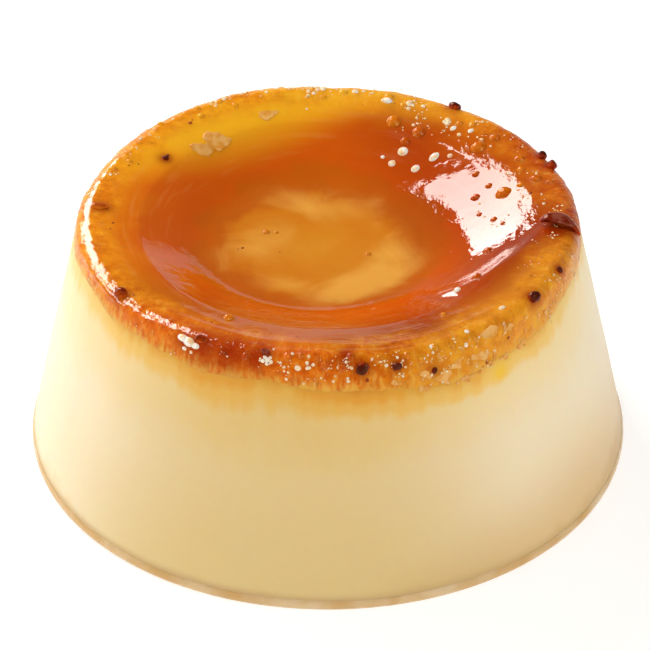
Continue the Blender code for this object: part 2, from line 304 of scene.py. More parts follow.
# %% Camera
CAMERA_RISE = math.radians(35.18)
CAMERA_DISTANCE = 0.4675
CAMERA_LENS, CAMERA_SHIFT = 195.2, (-0.00455, -0.00837)
aim = Vector((0.0, 0.0, 0.5 * RIM_HEIGHT))
bpy.ops.object.camera_add(
    location=aim + CAMERA_DISTANCE * Vector((0.0, -math.cos(CAMERA_RISE), math.sin(CAMERA_RISE))),
    rotation=(math.radians(90.0) - CAMERA_RISE, 0.0, 0.0),
)
camera = bpy.context.object
camera.data.lens = CAMERA_LENS
camera.data.sensor_width = 36.0
camera.data.shift_x, camera.data.shift_y = CAMERA_SHIFT
camera.data.clip_start = 0.01
bpy.context.scene.camera = camera
print("camera at", tuple(round(v, 3) for v in camera.location))


# %% Colours and nodes
def linear(hex_colour):
    """A linear colour with alpha from an sRGB hex value such as E0A458."""
    channels = [int(hex_colour[i : i + 2], 16) / 255.0 for i in (0, 2, 4)]
    values = [c / 12.92 if c <= 0.04045 else ((c + 0.055) / 1.055) ** 2.4 for c in channels]
    return (*values, 1.0)


def add_node(tree, kind, settings=None, links=None):
    """Adds a node. settings sets its properties and sockets, links feeds its sockets from outputs."""
    node = tree.nodes.new(kind)
    for key, value in (settings or {}).items():
        if isinstance(key, str) and hasattr(node, key):
            setattr(node, key, value)
        else:
            node.inputs[key].default_value = value
    for key, output in (links or {}).items():
        tree.links.new(output, node.inputs[key])
    return node


def set_ramp(node, stops):
    """Fills a colour ramp from (position, hex colour) pairs in rising order, with eased steps."""
    ramp = node.color_ramp
    ramp.interpolation = "EASE"
    while len(ramp.elements) < len(stops):
        ramp.elements.new(1.0)
    for element, (position, colour) in zip(ramp.elements, stops):
        element.position = position
        element.color = linear(colour)


def new_material(name):
    """A new material, its tree and its Principled shader."""
    made = bpy.data.materials.new(name)
    made.use_nodes = True
    print("material:", name)
    return made, made.node_tree, made.node_tree.nodes["Principled BSDF"]


# %% [markdown]
# ## Light
#
# A tall softbox stands behind the dessert, to the left. The wet caramel mirrors it as a broad white
# patch at the right of the dish. A long narrow strip slants down round the left side and is mirrored
# as the white line along the lip. Two panels at the front light the custard's face from its sides, so
# that the middle stays a little deeper. A third shines steeply down on the browned rim at the front,
# from where nothing wet mirrors it. A faint one, low down behind, is the pale sheen on the near wall
# of the dish. The sky is pale low down and dim overhead, because what is overhead would wash out the
# deep colour of the caramel.

# %% World and softboxes
# Name, azimuth, elevation, distance, width, height, power, roll. Azimuth 0 is right and 90 behind
LAMPS = (
    ("softbox_back", 120.3, 33.8, 0.55, 0.207, 0.426, 2.25, -19.8),
    ("strip_left", 175.0, 27.0, 0.55, 0.85, 0.08, 1.6, -16.0),
    ("panel_left", 222.0, 36.0, 0.60, 0.34, 0.34, 0.35, 0.0),
    ("panel_right", 330.0, 33.0, 0.60, 0.36, 0.36, 1.3, 0.0),
    ("panel_top", 268.0, 67.0, 0.60, 0.24, 0.24, 0.9, 0.0),
    ("low_panel", 76.0, 10.5, 0.90, 0.56, 0.17, 0.09, 0.0),
)
LAMP_COLOUR = "FFFCF6"


def area_light(name, azimuth, elevation, distance, width, height, power, roll):
    """A softbox that faces the dessert."""
    turn, rise = math.radians(azimuth), math.radians(elevation)
    way = Vector((math.cos(turn) * math.cos(rise), math.sin(turn) * math.cos(rise), math.sin(rise)))
    bpy.ops.object.light_add(type="AREA", location=aim + way * distance)
    lamp = bpy.context.object
    lamp.name = name
    facing = way.to_track_quat("Z", "Y").to_matrix()
    lamp.rotation_euler = (facing @ Matrix.Rotation(math.radians(roll), 3, "Z")).to_euler()
    lamp.data.shape = "RECTANGLE"
    lamp.data.size = width
    lamp.data.size_y = height
    lamp.data.energy = power
    lamp.data.color = linear(LAMP_COLOUR)[:3]


def make_world():
    """Pale at the horizon, dim overhead."""
    world = bpy.data.worlds.new("studio")
    bpy.context.scene.world = world
    world.use_nodes = True
    tree = world.node_tree
    place = add_node(tree, "ShaderNodeTexCoord")
    split = add_node(tree, "ShaderNodeSeparateXYZ", links={0: place.outputs["Generated"]})
    ramp = add_node(tree, "ShaderNodeValToRGB", links={0: split.outputs["Z"]})
    set_ramp(ramp, ((0.0, "B0B0B0"), (0.12, "747474"), (0.30, "484746"), (1.0, "383736")))
    back = tree.nodes["Background"]
    tree.links.new(ramp.outputs["Color"], back.inputs["Color"])
    back.inputs["Strength"].default_value = 1.0


make_world()
for lamp in LAMPS:
    area_light(*lamp)
print(len(LAMPS), "lamps")
bpy.context.scene.view_settings.view_transform = "Standard"

# %% The white sweep
bpy.ops.mesh.primitive_plane_add(size=6.0, location=(0.0, 0.0, custard_low[2]))
sweep = bpy.context.object
sweep.name = "white_sweep"
sweep_paper, tree, shader = new_material("matt white paper")
shader.inputs["Base Color"].default_value = linear("C8C8C8")
shader.inputs["Roughness"].default_value = 0.9
shader.inputs["Emission Color"].default_value = linear("FFFFFF")
shader.inputs["Emission Strength"].default_value = 0.6
sweep.data.materials.append(sweep_paper)


# %% [markdown]
# ## Turning a profile
#
# Both main pieces start as a single point that is extruded along a profile and spun round the axis,
# which is how a potter or a lathe would make them. The spun skin is dense enough for the relief that
# comes after.

# %% A turned skin
def start_point(name):
    """Adds a plane, merged to the single point where a profile begins, and stays in edit mode."""
    bpy.ops.object.select_all(action="DESELECT")
    bpy.ops.mesh.primitive_plane_add(size=MM)
    bpy.context.object.name = name
    bpy.ops.object.mode_set(mode="EDIT")
    bpy.ops.mesh.select_all(action="SELECT")
    bpy.ops.mesh.merge(type="CENTER")
    return bpy.context.object


def turn_profile(name, profile, steps):
    """A closed skin spun from the (distance, height) points of its profile."""
    piece = start_point(name)
    bpy.ops.transform.translate(value=(profile[0][0], 0.0, profile[0][1]))
    for (r0, z0), (r1, z1) in zip(profile, profile[1:]):
        bpy.ops.mesh.extrude_region_move(TRANSFORM_OT_translate={"value": (r1 - r0, 0.0, z1 - z0)})
    if profile[0][0] > 0.0:
        bpy.ops.mesh.select_all(action="DESELECT")
        bpy.ops.object.mode_set(mode="OBJECT")
        piece.data.vertices[0].select = True
        piece.data.vertices[len(profile) - 1].select = True
        bpy.ops.object.mode_set(mode="EDIT")
        bpy.ops.mesh.edge_face_add()
    bpy.ops.mesh.select_all(action="SELECT")
    bpy.ops.mesh.spin(steps=steps, angle=2.0 * math.pi, center=(0, 0, 0), axis=(0, 0, 1))
    bpy.ops.mesh.select_all(action="SELECT")
    bpy.ops.mesh.remove_doubles(threshold=0.002 * MM)
    bpy.ops.mesh.normals_make_consistent(inside=False)
    bpy.ops.object.mode_set(mode="OBJECT")
    bpy.ops.object.shade_smooth()
    return piece


def spread(first, last, spacing):
    """Even values from first to last, about that far apart."""
    count = max(2, int(round(abs(last - first) / spacing)) + 1)
    return [float(value) for value in np.linspace(first, last, count)]


def round_corner(centre, radius, first, last, spacing):
    """Points of a round corner, with the angles in radians."""
    turns = spread(first, last, spacing / radius)
    return [(centre[0] + radius * math.cos(t), centre[1] + radius * math.sin(t)) for t in turns]


# %% Reading, storing and roughening
def read_points(piece):
    points = np.empty(len(piece.data.vertices) * 3)
    piece.data.vertices.foreach_get("co", points)
    return points.reshape(-1, 3)


def write_points(piece, points):
    piece.data.vertices.foreach_set("co", points.ravel())
    piece.data.update()


def store(piece, name, values):
    """Keeps one number for each point under a name that a material can read."""
    layer = piece.data.attributes.new(name, "FLOAT", "POINT")
    layer.data.foreach_set("value", np.asarray(values, dtype=np.float32))


def weigh(piece, name, weights):
    """A vertex group with one weight for each point."""
    group = piece.vertex_groups.new(name=name)
    for index in np.nonzero(weights > 0.002)[0]:
        group.add([int(index)], float(weights[index]), "REPLACE")


def roughen(piece, group, grain, height):
    """Relief along the normals from a cloud texture, where the vertex group allows it."""
    texture = bpy.data.textures.new(f"{group}_{grain / MM:.1f}", "CLOUDS")
    texture.noise_scale = grain
    texture.noise_depth = 2
    texture.noise_basis = "IMPROVED_PERLIN"
    bpy.context.view_layer.objects.active = piece
    bpy.ops.object.modifier_add(type="DISPLACE")
    relief = piece.modifiers[-1]
    relief.texture = texture
    relief.texture_coords = "LOCAL"
    relief.strength = height
    relief.mid_level = 0.5
    relief.vertex_group = group
    bpy.ops.object.modifier_apply(modifier=relief.name)


def finish_piece(piece, node):
    """Sets the piece on the body and hides the solid that it stands in for."""
    piece.vertex_groups.clear()
    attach(piece, "root")
    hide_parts(node)
    piece.data.calc_loop_triangles()
    print(f"{piece.name}: {len(piece.data.loop_triangles)} triangles")


# %% [markdown]
# ## The custard
#
# Baked custard comes out of a smooth metal mould, so its side is nearly smooth, with a soft rounded
# foot and a few shallow dents where it clung to the metal. It is turned on its own, up to the place
# where the caramel tucks over it, and drawn in a little there so that the caramel's thin edge can
# sink into it. Two numbers are kept for each point before it is settled: its height on the even
# shape, which the caramel stain follows, and how much of a yellow drip it has soaked up.

# %% Custard body
STEPS_ROUND = 512
SKIN, GAP = 0.8 * MM, 0.3 * MM  # the caramel's thickness on the side, and what is left under it
UNDER_INSET = 1.0 * MM  # the underside of the caramel ends this far inside the crest
TUCK = 0.12 * MM
# Where a yellow drip has soaked in
DRIP_AZIMUTH, DRIP_HEIGHT, DRIP_WIDTH, DRIP_LENGTH = 309.6, 28.3 * MM, 2.4, 1.5 * MM


def custard_side(z):
    return side_radius(z) - TUCK * float(smooth(FRINGE_HEIGHT - 1.2 * MM, FRINGE_HEIGHT + 0.4 * MM, z))


def custard_profile():
    foot_centre = (base_radius - FOOT_ROUND * (1.0 + TAPER), FOOT_ROUND)
    foot = round_corner(foot_centre, FOOT_ROUND, -0.5 * math.pi, LEAN, 0.2 * MM)
    ledge = FRINGE_HEIGHT + 0.6 * MM
    side = [(custard_side(z), z) for z in spread(foot[-1][1] + 0.3 * MM, ledge, 0.6 * MM)]
    neck = (side_radius(ledge) - SKIN - GAP, ledge)
    rings = spread(crest_radius - UNDER_INSET - GAP, 0.0, 1.6 * MM)
    top = [(r, float(dish_height(r) - layer_depth(r) - GAP)) for r in rings]
    base = [(r, 0.0) for r in spread(0.0, foot_centre[0], 5.0 * MM)]
    return base[:-1] + foot + side + [neck] + top


custard = turn_profile("custard_body", custard_profile(), STEPS_ROUND)
points = read_points(custard)
reach = np.hypot(points[:, 0], points[:, 1])
store(custard, "rise", points[:, 2] / MM)
off_drip = hill(degrees_off(np.arctan2(points[:, 1], points[:, 0]), DRIP_AZIMUTH), DRIP_WIDTH)
store(custard, "drip", off_drip * hill(points[:, 2] - DRIP_HEIGHT, DRIP_LENGTH))
write_points(custard, settle(points))
on_side = smooth(2.0 * MM, 5.0 * MM, points[:, 2]) * smooth(32.0 * MM, 33.0 * MM, reach)
weigh(custard, "side", on_side)
roughen(custard, "side", 11.0 * MM, 0.30 * MM)
roughen(custard, "side", 2.4 * MM, 0.05 * MM)
finish_piece(custard, "custard")

# %% [markdown]
# ## The caramel skin
#
# The caramel is one skin with three characters. On the floor and the wall of the dish it is liquid
# and lies smooth, with slow ripples. Round the lip it has drawn up into a low bead, as any liquid
# does at its edge. On the shoulder and the fringe it has browned and dried into crags, and its lower
# edge is ragged. On the left it stayed wet further out. Displace modifiers with vertex groups give
# each part its own relief. The wet part and the dried part get a finish each, so each face is told
# which one it belongs to.

# %% Caramel skin
FRINGE_FOOT = FRINGE_HEIGHT - 1.0 * MM
FRINGE_SUNK = 0.30 * MM
BEADS = ((30.7 * MM, 0.35 * MM, 0.06 * MM), (24.3 * MM, 0.25 * MM, 0.03 * MM))  # place, width, height
# Waves of the ragged lower edge, and of the border where wet caramel meets dried
RAGS = ((0.16 * MM, 29, 20.0), (0.14 * MM, 47, 110.0), (0.12 * MM, 83, 250.0), (0.08 * MM, 131, 15.0))
BORDER_RAGS = ((0.18 * MM, 37, 0.0), (0.14 * MM, 61, 80.0), (0.12 * MM, 97, 200.0), (0.4 * MM, 9, 50.0))
WET_BORDER = 30.8 * MM
WET_SPILL = (2.4 * MM, 205.0, 38.0)  # on the left the caramel is wet this much further out
MILK = (  # where stirred-up custard clouds the floor: x, y, length, width, turn in degrees, strength
    (7.0 * MM, -8.5 * MM, 9.0 * MM, 3.6 * MM, 38.0, 1.0),
    (10.5 * MM, -2.5 * MM, 5.0 * MM, 3.4 * MM, 100.0, 0.7),
    (-6.0 * MM, 1.0 * MM, 6.5 * MM, 5.0 * MM, 50.0, 0.50),
    (1.5 * MM, 9.0 * MM, 8.0 * MM, 3.2 * MM, 170.0, 0.6),
    (-3.0 * MM, -9.5 * MM, 6.0 * MM, 2.2 * MM, 165.0, 0.5),
)


def skirt_radius(z):
    """Flush with the custard's side, but for the lowest edge, which sinks into it."""
    sunk = 1.0 - float(smooth(FRINGE_FOOT, FRINGE_HEIGHT + 0.5 * MM, z))
    return side_radius(z) - FRINGE_SUNK * sunk


def caramel_profile():
    lip_centre = (crest_radius, RIM_HEIGHT - SHOULDER_ROUND)
    heights = spread(FRINGE_FOOT, lip_centre[1] - 0.25 * MM, 0.25 * MM)
    skirt = [(skirt_radius(z), z) for z in heights]
    shoulder = round_corner(lip_centre, SHOULDER_ROUND, LEAN, 0.5 * math.pi, 0.22 * MM)
    dish = [(r, float(dish_height(r))) for r in spread(crest_radius - 0.3 * MM, 0.0, 0.33 * MM)]
    rings = spread(0.0, crest_radius - UNDER_INSET, 2.2 * MM)
    under = [(r, float(dish_height(r) - layer_depth(r))) for r in rings]
    return skirt + shoulder + dish + under + [(side_radius(FRINGE_FOOT) - SKIN, FRINGE_FOOT)]


def milkiness(points):
    """How much custard is stirred into the floor at each point."""
    milk = np.zeros(len(points))
    for x, y, length, width, turn, strength in MILK:
        cos, sin = math.cos(math.radians(turn)), math.sin(math.radians(turn))
        along = (points[:, 0] - x) * cos + (points[:, 1] - y) * sin
        across = (points[:, 1] - y) * cos - (points[:, 0] - x) * sin
        milk = np.maximum(milk, strength * hill(along, length) * hill(across, width))
    return milk


def split_finish(piece, dried):
    """Gives the second material slot to each face that has dried."""
    mesh = piece.data
    shares = [sum(dried[v] for v in face.vertices) / len(face.vertices) for face in mesh.polygons]
    mesh.polygons.foreach_set("material_index", [int(share > 0.5) for share in shares])


caramel = turn_profile("caramel_skin", caramel_profile(), STEPS_ROUND)
points = read_points(caramel)
reach = np.hypot(points[:, 0], points[:, 1])
azimuth = np.arctan2(points[:, 1], points[:, 0])
upper = (points[:, 2] > dish_height(reach) - 0.3 * MM) | (reach > crest_radius)
place = place_of(reach, points[:, 2])
store(caramel, "place", place / MM)
for bead, width, height in BEADS:
    points[:, 2] += upper * (reach < crest_radius + 0.5 * MM) * height * hill(place - bead, width)
flatten_shoulder(points, place, azimuth)
low = 1.0 - smooth(FRINGE_FOOT, FRINGE_HEIGHT + 1.0 * MM, points[:, 2])
points[:, 2] += waves(RAGS, azimuth) * low * (reach > crest_radius)
write_points(caramel, settle_wet(points))
store(caramel, "milk", milkiness(points))
spill, centre, width = WET_SPILL
border = WET_BORDER + spill * hill(degrees_off(azimuth, centre), width) + waves(BORDER_RAGS, azimuth)
dried = upper * smooth(border - 0.3 * MM, border + 0.3 * MM, place)
foot_fade = smooth(FRINGE_FOOT, FRINGE_HEIGHT + 0.8 * MM, points[:, 2])
damp = upper * smooth(29.0 * MM, 31.0 * MM, place) * (1.0 - dried)
wet = upper * (1.0 - smooth(27.0 * MM, 31.0 * MM, place))
weigh(caramel, "dry", dried * foot_fade)
weigh(caramel, "damp", damp)
weigh(caramel, "wet", wet)
weigh(caramel, "wall", wet * smooth(12.0 * MM, 19.0 * MM, place))
roughen(caramel, "dry", 3.4 * MM, 0.42 * MM)
roughen(caramel, "dry", 1.1 * MM, 0.20 * MM)
roughen(caramel, "dry", 0.5 * MM, 0.10 * MM)
roughen(caramel, "damp", 1.1 * MM, 0.06 * MM)
roughen(caramel, "wet", 9.0 * MM, 0.14 * MM)
roughen(caramel, "wall", 2.4 * MM, 0.05 * MM)
split_finish(caramel, dried)
finish_piece(caramel, "caramel_layer")

# %% [markdown]
# ## Small pieces from one model
#
# Blisters, foam and crumbs repeat many times. Each kind is modelled once, copied to each of its
# places with its own mesh, and joined to one piece. A copy also keeps how far out it sits, because
# the caramel's colour follows that.

# %% Copies of one model
DOME_BRIM = 0.06  # how high a dome's brim stands before the bell begins, as a share of its height
FLAKE_PRESS = 0.14  # half the thickness that a flake keeps, as a share of the ball's height


def start_lump(name, size, detail):
    """A ball, drawn out to its length, width and height."""
    bpy.ops.object.select_all(action="DESELECT")
    bpy.ops.mesh.primitive_ico_sphere_add(subdivisions=detail, radius=0.5)
    lump = bpy.context.object
    lump.name = name
    bpy.ops.object.mode_set(mode="EDIT")
    bpy.ops.mesh.select_all(action="SELECT")
    bpy.ops.transform.resize(value=size)
    bpy.ops.object.mode_set(mode="OBJECT")
    bpy.ops.object.shade_smooth()
    return lump


def start_bubble(name):
    """A small ball with few faces, for what repeats hundreds of times."""
    bpy.ops.object.select_all(action="DESELECT")
    bpy.ops.mesh.primitive_uv_sphere_add(segments=8, ring_count=5, radius=0.5)
    bpy.context.object.name = name
    bpy.ops.object.shade_smooth()
    return bpy.context.object


def start_dome(name):
    """A ball whose upper half is drawn to a low bell, so that its brim runs into the surface."""
    dome = start_lump(name, (1.0, 1.0, 1.0), 4)
    points = read_points(dome)
    off_axis = np.minimum(1.0, 2.0 * np.hypot(points[:, 0], points[:, 1]))
    bell = DOME_BRIM + (0.5 - DOME_BRIM) * (1.0 - off_axis**4) ** 2
    points[:, 2] = np.where(points[:, 2] > 0.0, bell, points[:, 2])
    write_points(dome, points)
    return dome


def start_flake(name, lobes):
    """A ball pressed flat, with an outline of uneven lobes."""
    flake = start_lump(name, (1.0, 1.0, 1.0), 4)
    points = read_points(flake)
    azimuth = np.arctan2(points[:, 1], points[:, 0])
    outline = 1.0 + waves(lobes, azimuth)
    points[:, 0] *= outline
    points[:, 1] *= outline
    points[:, 2] = np.clip(points[:, 2], -FLAKE_PRESS, FLAKE_PRESS)
    write_points(flake, points)
    return flake


def crag(lump, grain, height):
    """Relief all over a lump."""
    weigh(lump, "all", np.ones(len(lump.data.vertices)))
    roughen(lump, "all", grain, height)
    lump.vertex_groups.clear()


def join(pieces, name):
    bpy.ops.object.select_all(action="DESELECT")
    for piece in pieces:
        piece.select_set(True)
    bpy.context.view_layer.objects.active = pieces[0]
    bpy.ops.object.join()
    pieces[0].name = name
    return pieces[0]


def scatter(name, models, places):
    """One piece from copies of the models in turn. A place is a matrix and its place in the dish."""
    copies = []
    for index, (matrix, place) in enumerate(places):
        model = models[index % len(models)]
        copy = model.copy()
        copy.data = model.data.copy()
        copy.data.transform(matrix)
        store(copy, "place", np.full(len(copy.data.vertices), place / MM))
        bpy.context.collection.objects.link(copy)
        copies.append(copy)
    for model in models:
        bpy.data.objects.remove(model)
    return join(copies, name)


def sized(matrix, length, width, height, turn=0.0):
    """The seat's matrix, turned about the normal and drawn out to a size."""
    stretch = Matrix.Diagonal((length, width, height, 1.0))
    return matrix @ Matrix.Rotation(math.radians(turn), 4, "Z") @ stretch


def lifted(matrix, height):
    return matrix @ Matrix.Translation((0.0, 0.0, height))


# %% [markdown]
# ## Burnt sugar
#
# Where sugar splashed up the mould it burnt to dark beads and flakes. Each one is modelled on its
# own from a ball: drawn out, cragged, and for the largest flake bent to an arch. They sit where the
# solids have them. The solids' beads are coarse and look heavy, so these are drawn a little smaller.

# %% Burnt bits
# Azimuth, place, length, width, height, turn in degrees, and for the beads how craggy they are
LARGE_FLAKE = (353.0, 30.2 * MM, 5.2 * MM, 2.4 * MM, 2.3 * MM, -15.0)
BEADS_OF_SUGAR = (
    ("back_bead", 57.0, 31.6 * MM, 2.6 * MM, 2.0 * MM, 1.9 * MM, 80.0, 0.25),
    ("clear_bead", 26.5, 31.8 * MM, 1.9 * MM, 1.7 * MM, 2.1 * MM, 20.0, 0.20),
    ("double_bead", 324.0, 32.0 * MM, 2.6 * MM, 1.9 * MM, 1.5 * MM, 95.0, 0.35),
    ("small_bead", 336.0, 32.2 * MM, 1.3 * MM, 1.1 * MM, 0.9 * MM, 0.0, 0.30),
    ("front_chunk", 277.5, 33.1 * MM, 1.9 * MM, 2.5 * MM, 1.4 * MM, 30.0, 0.60),
    ("front_bead", 285.0, 33.1 * MM, 1.7 * MM, 1.3 * MM, 1.2 * MM, 100.0, 0.40),
    ("front_speck", 293.5, 33.5 * MM, 1.1 * MM, 1.0 * MM, 0.8 * MM, 0.0, 0.40),
    ("left_speck", 256.0, 31.7 * MM, 1.8 * MM, 1.2 * MM, 0.9 * MM, 70.0, 0.50),
    ("left_crumb", 240.5, 32.0 * MM, 2.6 * MM, 1.5 * MM, 0.8 * MM, 85.0, 0.60),
    ("amber_bead", 214.5, 31.6 * MM, 2.3 * MM, 2.1 * MM, 2.2 * MM, 0.0, 0.06),
    ("hooked_smear", 176.5, 29.8 * MM, 3.2 * MM, 1.7 * MM, 1.0 * MM, 10.0, 0.50),
    ("back_fleck", 146.0, 26.0 * MM, 1.3 * MM, 0.9 * MM, 0.8 * MM, 40.0, 0.45),
)
SPIKED_FLAKE = (22.0, 32.0 * MM, 2.4 * MM, 1.4 * MM, 1.7 * MM, 65.0)
BITS_SUNK = 0.35  # the share of a bit's height that lies in the caramel
BEAD_SHARE = (0.74, 0.74, 0.64)  # of its solid's length, width and height
HALO = 1.2 * MM  # how far a bit stains the caramel round it
# Pools of darker syrup with no bit in them: azimuth, place, span
DARK_POOLS = (
    (237.0, 32.8 * MM, 2.6 * MM),
    (242.0, 32.6 * MM, 4.0 * MM),
    (248.0, 32.4 * MM, 4.2 * MM),
    (254.0, 32.4 * MM, 3.0 * MM),
    (274.0, 31.6 * MM, 1.8 * MM),
    (350.0, 29.2 * MM, 2.6 * MM),
    (357.0, 31.4 * MM, 1.8 * MM),
)
burnt = {}
stains = [(seat(azimuth, place).translation, span) for azimuth, place, span in DARK_POOLS]


def set_bit(bit, azimuth, place, length, height, turn):
    """Moves a finished bit to its seat and remembers its stain and how high each point is."""
    store(bit, "lift", read_points(bit)[:, 2] / height + 0.5)
    matrix = lifted(seat(azimuth, place), height * (0.5 - BITS_SUNK))
    bit.data.transform(matrix @ Matrix.Rotation(math.radians(turn), 4, "Z"))
    stains.append((seat(azimuth, place).translation, 0.5 * length + HALO))
    burnt[bit.name] = bit


for name, azimuth, place, length, width, height, turn, crags in BEADS_OF_SUGAR:
    length, width, height = (size * share for size, share in zip((length, width, height), BEAD_SHARE))
    bit = start_lump(name, (length, width, height), 4)
    crag(bit, 0.45 * width, crags * height)
    crag(bit, 0.18 * width, 0.2 * crags * height)
    set_bit(bit, azimuth, place, length, height, turn)


def make_large_flake():
    """A leaf of burnt sugar, arched along and hollow in front, with a round end and a pointed one."""
    azimuth, place, length, width, height, turn = LARGE_FLAKE
    flake = start_lump("large_flake", (length * 1.1, width, 0.7 * height), 5)
    points = read_points(flake)
    along = points[:, 0] / (0.5 * length)
    across = points[:, 1] / (0.5 * width)
    outer = np.maximum(along, 0.0)
    points[:, 1] *= 1.0 - 0.55 * outer
    points[:, 2] *= 1.0 - 0.45 * outer
    front = np.clip(-across, 0.0, 1.0) * (1.0 - smooth(0.55, 1.0, np.abs(along)))
    below = 1.0 - smooth(-0.02 * height, 0.22 * height, points[:, 2])
    points[:, 1] += 0.62 * width * front * below
    points[:, 2] += 0.34 * height * (0.6 - along**2) + 0.10 * height * across
    bulb = hill(along + 0.85, 0.3)
    points[:, 1] -= 0.10 * width * bulb
    points[:, 2] += 0.10 * height * bulb
    write_points(flake, points)
    crag(flake, 1.3 * MM, 0.22 * MM)
    crag(flake, 0.4 * MM, 0.05 * MM)
    set_bit(flake, azimuth, place, length, height, turn)


def make_spiked_flake():
    """A lump with three points drawn out of it."""
    azimuth, place, length, width, height, turn = SPIKED_FLAKE
    flake = start_lump("spiked_flake", (0.7 * length, width, 0.7 * height), 4)
    points = read_points(flake)
    for way in ((0.9, 0.0, 0.5), (-0.2, 0.5, 0.9), (0.5, -0.8, 0.1)):
        way = np.array(way) / np.linalg.norm(way)
        along = points @ way / (0.35 * length)
        points += np.outer(0.55 * MM * np.clip(along, 0.0, None) ** 6, way)
    write_points(flake, points)
    crag(flake, 0.6 * MM, 0.25 * MM)
    set_bit(flake, azimuth, place, length, height, turn)


make_large_flake()
make_spiked_flake()
for bit in burnt.values():
    finish_piece(bit, "caramel_layer")

# %% [markdown]
# ## Blisters
#
# Steam under the caramel raised it into low domes, most of them at the back right. They follow the
# solids' own rule, with the same seed, so each dome lies where its solid is, a little lower and with
# a brim that runs out into the surface. A few finer ones, too small for the solids, are added.

# %% Blisters where the solids have them
# How many, first and last azimuth, nearest and farthest place, least and most width
BLISTER_FIELDS = (
    (18, 12.0, 75.0, 21.5 * MM, 30.5 * MM, 1.2 * MM, 2.5 * MM),
    (10, 80.0, 160.0, 29.0 * MM, 31.5 * MM, 1.0 * MM, 1.9 * MM),
    (12, 250.0, 305.0, 31.8 * MM, 33.4 * MM, 0.9 * MM, 1.4 * MM),
)
BLISTER_RISE, BLISTERS_SUNK, BLISTER_GAP = 0.60, 0.6, 0.4 * MM
# Caramel is drawn thin over a blister, so it takes the colour of the caramel further out
THINNED, THINNEST = 2.5 * MM, 30.0 * MM
SEED = 11
# Azimuth, place, width
SMALL_BLISTERS = (
    (347.0, 21.7 * MM, 1.5 * MM),
    (6.0, 22.3 * MM, 1.1 * MM),
    (2.0, 23.2 * MM, 0.8 * MM),
    (12.0, 21.0 * MM, 0.9 * MM),
    (153.5, 7.2 * MM, 1.1 * MM),
    (148.0, 6.0 * MM, 0.7 * MM),
    (344.3, 7.2 * MM, 0.9 * MM),
    (241.4, 25.5 * MM, 1.6 * MM),
    (304.0, 26.0 * MM, 1.1 * MM),
    (327.0, 23.0 * MM, 1.6 * MM),
)


def bits_taken():
    """Where the burnt bits are, in the solids' own order, with their lengths."""
    bits = {name: (azimuth, place, length) for name, azimuth, place, length, *_ in BEADS_OF_SUGAR}
    order = ["back_bead", "clear_bead"]
    first = [LARGE_FLAKE[:3]] + [bits[name] for name in order] + [SPIKED_FLAKE[:3]]
    rest = [bits[name] for name in bits if name not in order]
    return [(solid_spot(a, p), length) for a, p, length in first + rest]


def dome_place(azimuth, place, width, breadth):
    height = width * BLISTER_RISE
    here = lifted(seat(azimuth, place), height * (0.5 - BLISTERS_SUNK))
    return sized(here, width, breadth, height), min(place + THINNED, THINNEST)


def blister_places():
    chance = random.Random(SEED)
    taken, places = bits_taken(), []
    for count, first, last, near, far, least, most in BLISTER_FIELDS:
        placed = 0
        while placed < count:
            azimuth = chance.uniform(first, last)
            place = chance.uniform(near, far)
            width = least + (most - least) * chance.random() ** 2
            breadth = width * chance.uniform(0.8, 1.0)
            spot = solid_spot(azimuth, place)
            if any((spot - other).length < 0.5 * (width + size) + BLISTER_GAP for other, size in taken):
                continue
            taken.append((spot, width))
            places.append(dome_place(azimuth, place, width, breadth))
            placed += 1
    return places + [dome_place(azimuth, place, width, width) for azimuth, place, width in SMALL_BLISTERS]


blisters = scatter("blisters", [start_dome("blister")], blister_places())
finish_piece(blisters, "caramel_layer")

# %% [markdown]
# ## Foam
#
# Fine bubbles rose while the custard baked and set pale in the caramel. They gather in clusters along
# the rim. Each field draws a few cluster centres and drops its bubbles round them. White domes, on
# the back wall and here and there along the front, are placed one by one. Those on the back wall and
# a broad cap on the left stand in for glints of light, as painted highlights. A flower of small ones
# at the front is set foam.

# %% Foam bubbles
# Bubbles, clusters, first and last azimuth, nearest and farthest place, least and most width
FOAM_FIELDS = (
    (150, 20, 112.0, 170.0, 30.4 * MM, 32.6 * MM, 0.16 * MM, 0.55 * MM),
    (120, 16, 66.0, 118.0, 29.2 * MM, 32.4 * MM, 0.18 * MM, 0.80 * MM),
    (60, 14, 44.0, 68.0, 22.0 * MM, 31.0 * MM, 0.18 * MM, 0.80 * MM),
    (70, 18, 2.0, 46.0, 21.0 * MM, 31.0 * MM, 0.14 * MM, 0.45 * MM),
    (50, 10, 330.0, 362.0, 27.0 * MM, 31.5 * MM, 0.14 * MM, 0.36 * MM),
    (150, 18, 256.0, 298.0, 32.2 * MM, 34.4 * MM, 0.14 * MM, 0.55 * MM),
    (110, 20, 298.0, 345.0, 31.6 * MM, 35.0 * MM, 0.12 * MM, 0.34 * MM),
    (40, 10, 176.0, 250.0, 32.4 * MM, 34.4 * MM, 0.12 * MM, 0.30 * MM),
)
CLUSTER_SPREAD, CLUSTER_REACH = 0.55 * MM, 30.0 * MM  # the reach turns a length into an angle
